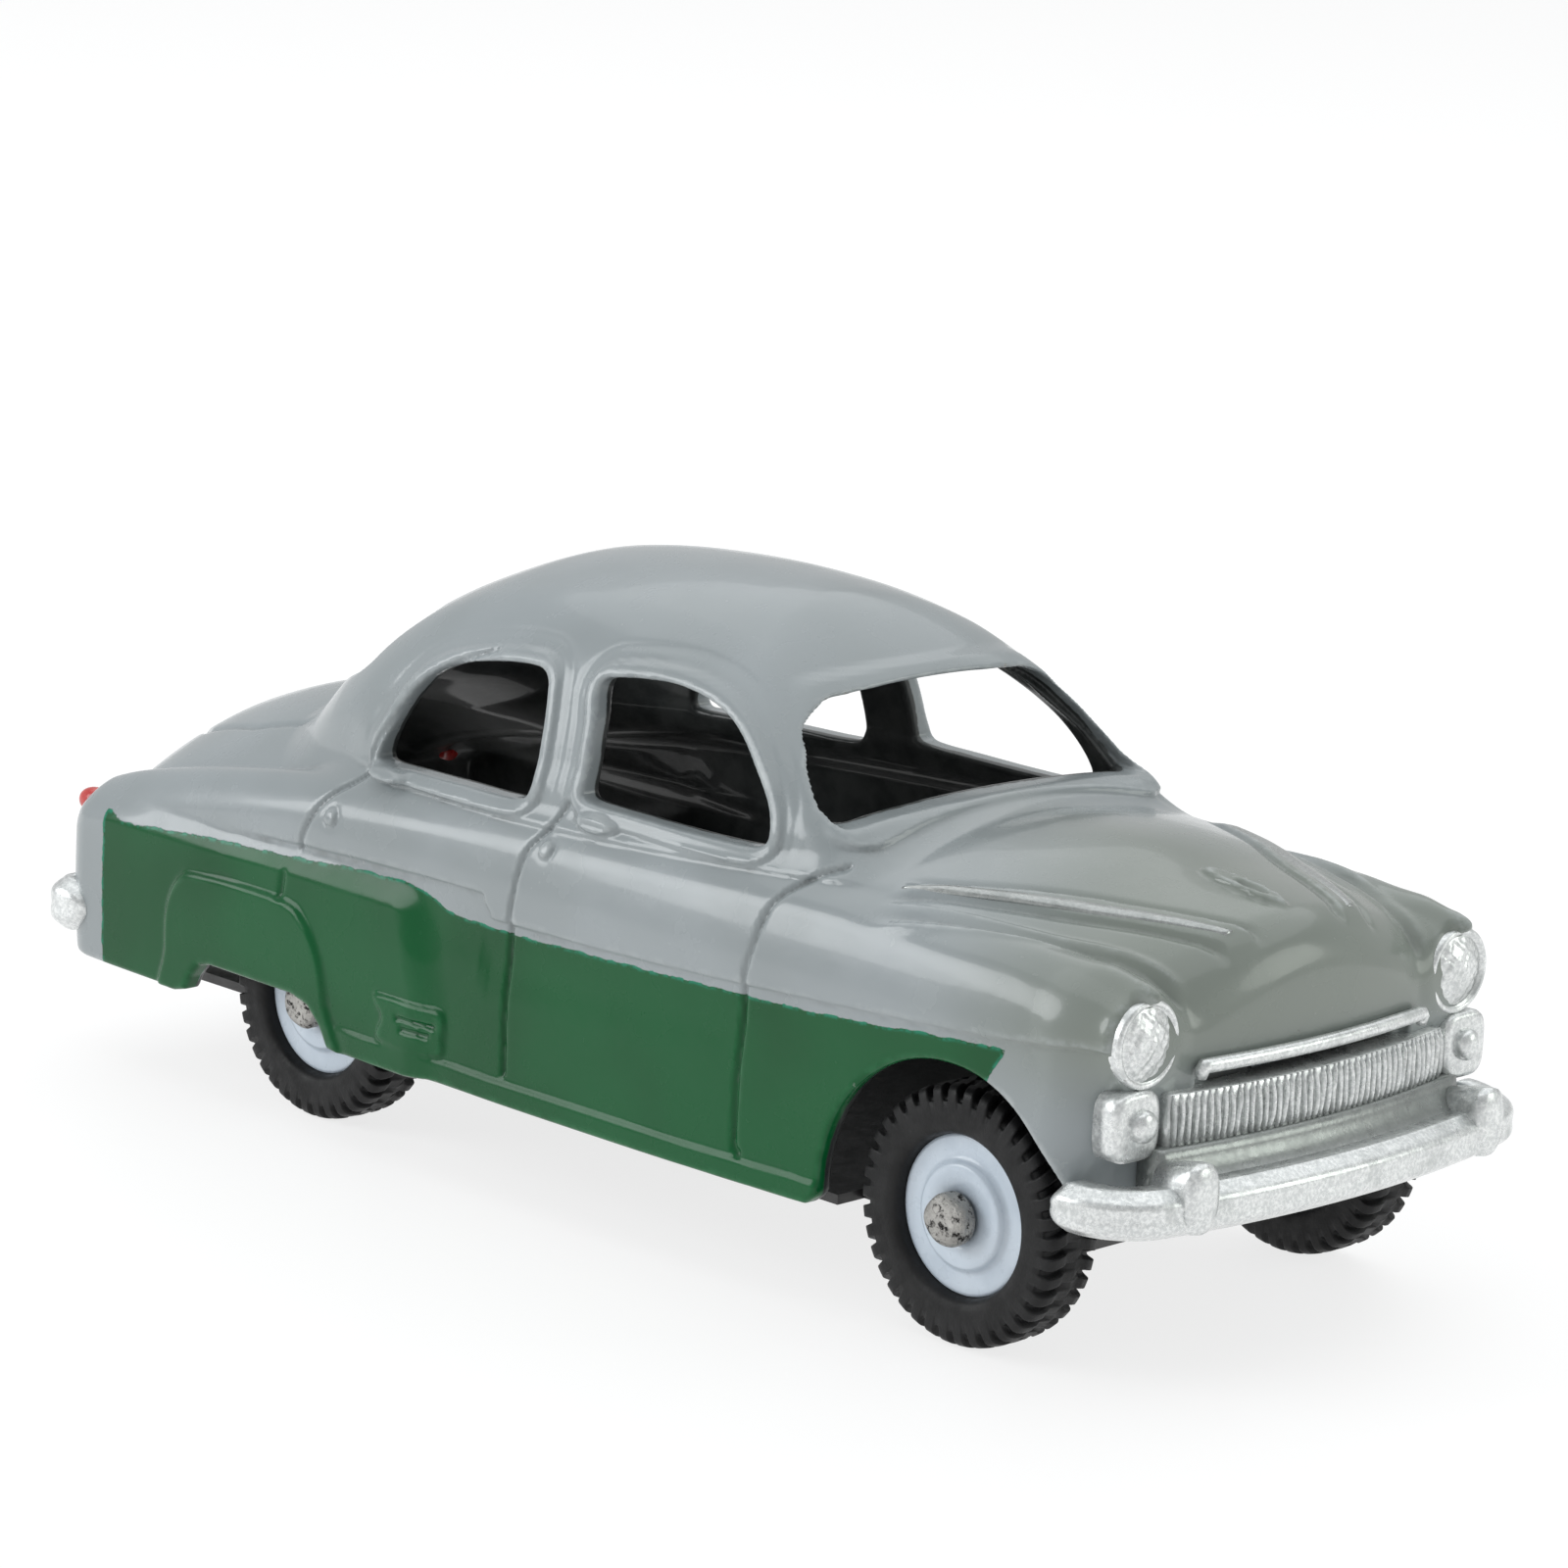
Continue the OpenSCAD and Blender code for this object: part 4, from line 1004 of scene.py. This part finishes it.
def make_flute(name, sign):
    """Tapering rib that lies along the bonnet, with a sharp crest."""
    rings = []
    for u in np.linspace(0, 1, 70):
        x = 24.6 + 17.1 * u
        y = float(curve(FLUTE, x))
        size = 0.1 + 0.8 * math.sin(math.radians(165) * u)**0.7
        height = 0.34 * min(1, 2 * size)
        z = float(bonnet_z(x, y)) - 0.02
        ring = []
        for a in np.linspace(0, 2 * math.pi, 16, endpoint=False):
            c, s = math.cos(a), math.sin(a)
            ring.append((x, sign * (y + size * c), z + (height * max(s, 0)**0.8 if s > 0 else 0.45 * s)))
        rings.append(ring if sign > 0 else ring[::-1])
    piece = joined(f"{name}_metal", [sweep(rings)])
    set_attribute(piece, "dull_tone_and_shade", np.full(len(piece.data.vertices), 0.75))
    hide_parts(name)
    return piece


# ---------------------------------------------------------------- stage

def make_stage():
    """Pale floor, wide soft lights and the camera."""
    bpy.ops.mesh.primitive_plane_add(size=4)
    floor = bpy.context.object
    floor.name = "floor"
    s = Shader("floor_pale", Roughness=0.6)
    s.set(s.surface, {"Base Color": s.mix(s.noise(0.002, 2), srgb(122, 122, 122), srgb(126, 126, 126))})
    s.set(s.surface, {"Emission Color": (1, 1, 1, 1), "Emission Strength": 0.78})
    floor.data.materials.append(s.material)
    for name, at, aim, size, power in (
            ("light_top", (-0.10, 0.15, 0.60), (0, 0, 0.02), 1.1, 2.6),
            ("light_left", (-0.45, -0.50, 0.34), (0, 0, 0.02), 0.45, 2.2),
            ("light_right", (0.50, 0.40, 0.30), (0, 0, 0.02), 0.35, 0.7)):
        data = bpy.data.lights.new(name, "AREA")
        data.shape = "DISK"
        data.size = size
        data.energy = power
        data.color = (0.95, 1.0, 0.93) if name == "light_right" else (0.97, 0.99, 1.0)
        lamp = bpy.data.objects.new(name, data)
        lamp.location = at
        lamp.rotation_euler = (Vector(aim) - Vector(at)).to_track_quat("-Z", "Y").to_euler()
        bpy.context.collection.objects.link(lamp)
    world = bpy.data.worlds.new("studio")
    world.use_nodes = True
    tree = world.node_tree
    back = tree.nodes["Background"]
    coords = tree.nodes.new("ShaderNodeTexCoord")
    split = tree.nodes.new("ShaderNodeSeparateXYZ")
    ramp = tree.nodes.new("ShaderNodeValToRGB")
    tree.links.new(coords.outputs["Generated"], split.inputs[0])
    tree.links.new(split.outputs["Z"], ramp.inputs[0])
    ramp.color_ramp.elements[0].color = (1.0, 1.0, 1.0, 1)
    ramp.color_ramp.elements[1].position = 0.9
    ramp.color_ramp.elements[1].color = (0.72, 0.74, 0.75, 1)
    tree.links.new(ramp.outputs[0], back.inputs["Color"])
    back.inputs["Strength"].default_value = 0.62
    bpy.context.scene.world = world
    bpy.context.scene.view_settings.view_transform = "Standard"


def make_camera():
    """Long lens, three-quarter view of the right front, level with the bonnet."""
    azimuth, elevation, roll = (math.radians(a) for a in (44.49, 12.76, 2.505))
    target = Vector((-0.1548, 1.7136, 23.8781)) * MM
    distance = 347.6 * MM
    back = Vector((math.sin(azimuth) * math.cos(elevation), -math.cos(azimuth) * math.cos(elevation),
                   math.sin(elevation)))
    right = (-back).cross(Vector((0, 0, 1))).normalized()
    up = right.cross(-back)
    turned_right = right * math.cos(roll) + up * math.sin(roll)
    turned_up = up * math.cos(roll) - right * math.sin(roll)
    data = bpy.data.cameras.new("camera")
    data.sensor_width = 36
    data.lens = 130.28
    data.clip_start = 0.01
    camera = bpy.data.objects.new("camera", data)
    turn = Matrix((turned_right, turned_up, back)).transposed().to_4x4()
    camera.matrix_world = Matrix.Translation(target + back * distance) @ turn
    bpy.context.collection.objects.link(camera)
    bpy.context.scene.camera = camera


# ---------------------------------------------------------------- assembly

enamel, silver, red = enamel_material(), silver_material(), red_material()
black, hub_paint, rubber = base_material(), hub_material(), rubber_material()
axle_steel = steel_material("axle_steel", srgb(186, 184, 180), srgb(34, 32, 31), 0.3)
rivet_steel = steel_material("rivet_metal", srgb(150, 150, 150), srgb(60, 60, 60), 0.05)


def put(piece, body, material):
    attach(piece, body)
    piece.data.materials.clear()
    piece.data.materials.append(material)


casting = make_casting()
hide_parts("body_casting")
put(casting, "chassis", enamel)
for bumper in ("front_bumper", "rear_bumper"):
    put(make_bumper(bumper), "chassis", silver)
put(make_grille(), "chassis", silver)
put(make_grille_bar(), "chassis", silver)
for side_name, side in SIDES.items():
    put(make_headlamp(f"headlamp_{side_name}"), "chassis", silver)
    put(make_button(f"sidelamp_{side_name}", 1), "chassis", silver)
    put(make_button(f"tail_lamp_{side_name}", -1), "chassis", red)
    put(make_flute(f"bonnet_flute_{side_name}", side), "chassis", silver)
    for end in ("front", "rear"):
        wheel = f"wheel_{end}_{side_name}"
        put(make_hub(f"hub_{end}_{side_name}", side), wheel, hub_paint)
        put(make_tyre(f"tyre_{end}_{side_name}"), wheel, rubber)
for axle in ("front_axle", "rear_axle"):
    put(make_axle(axle), axle, axle_steel)
for node, material in (("baseplate", black), ("base_rivet_front", rivet_steel),
                       ("base_rivet_rear", rivet_steel)):
    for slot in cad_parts[node].material_slots:
        slot.material = material
make_stage()
make_camera()
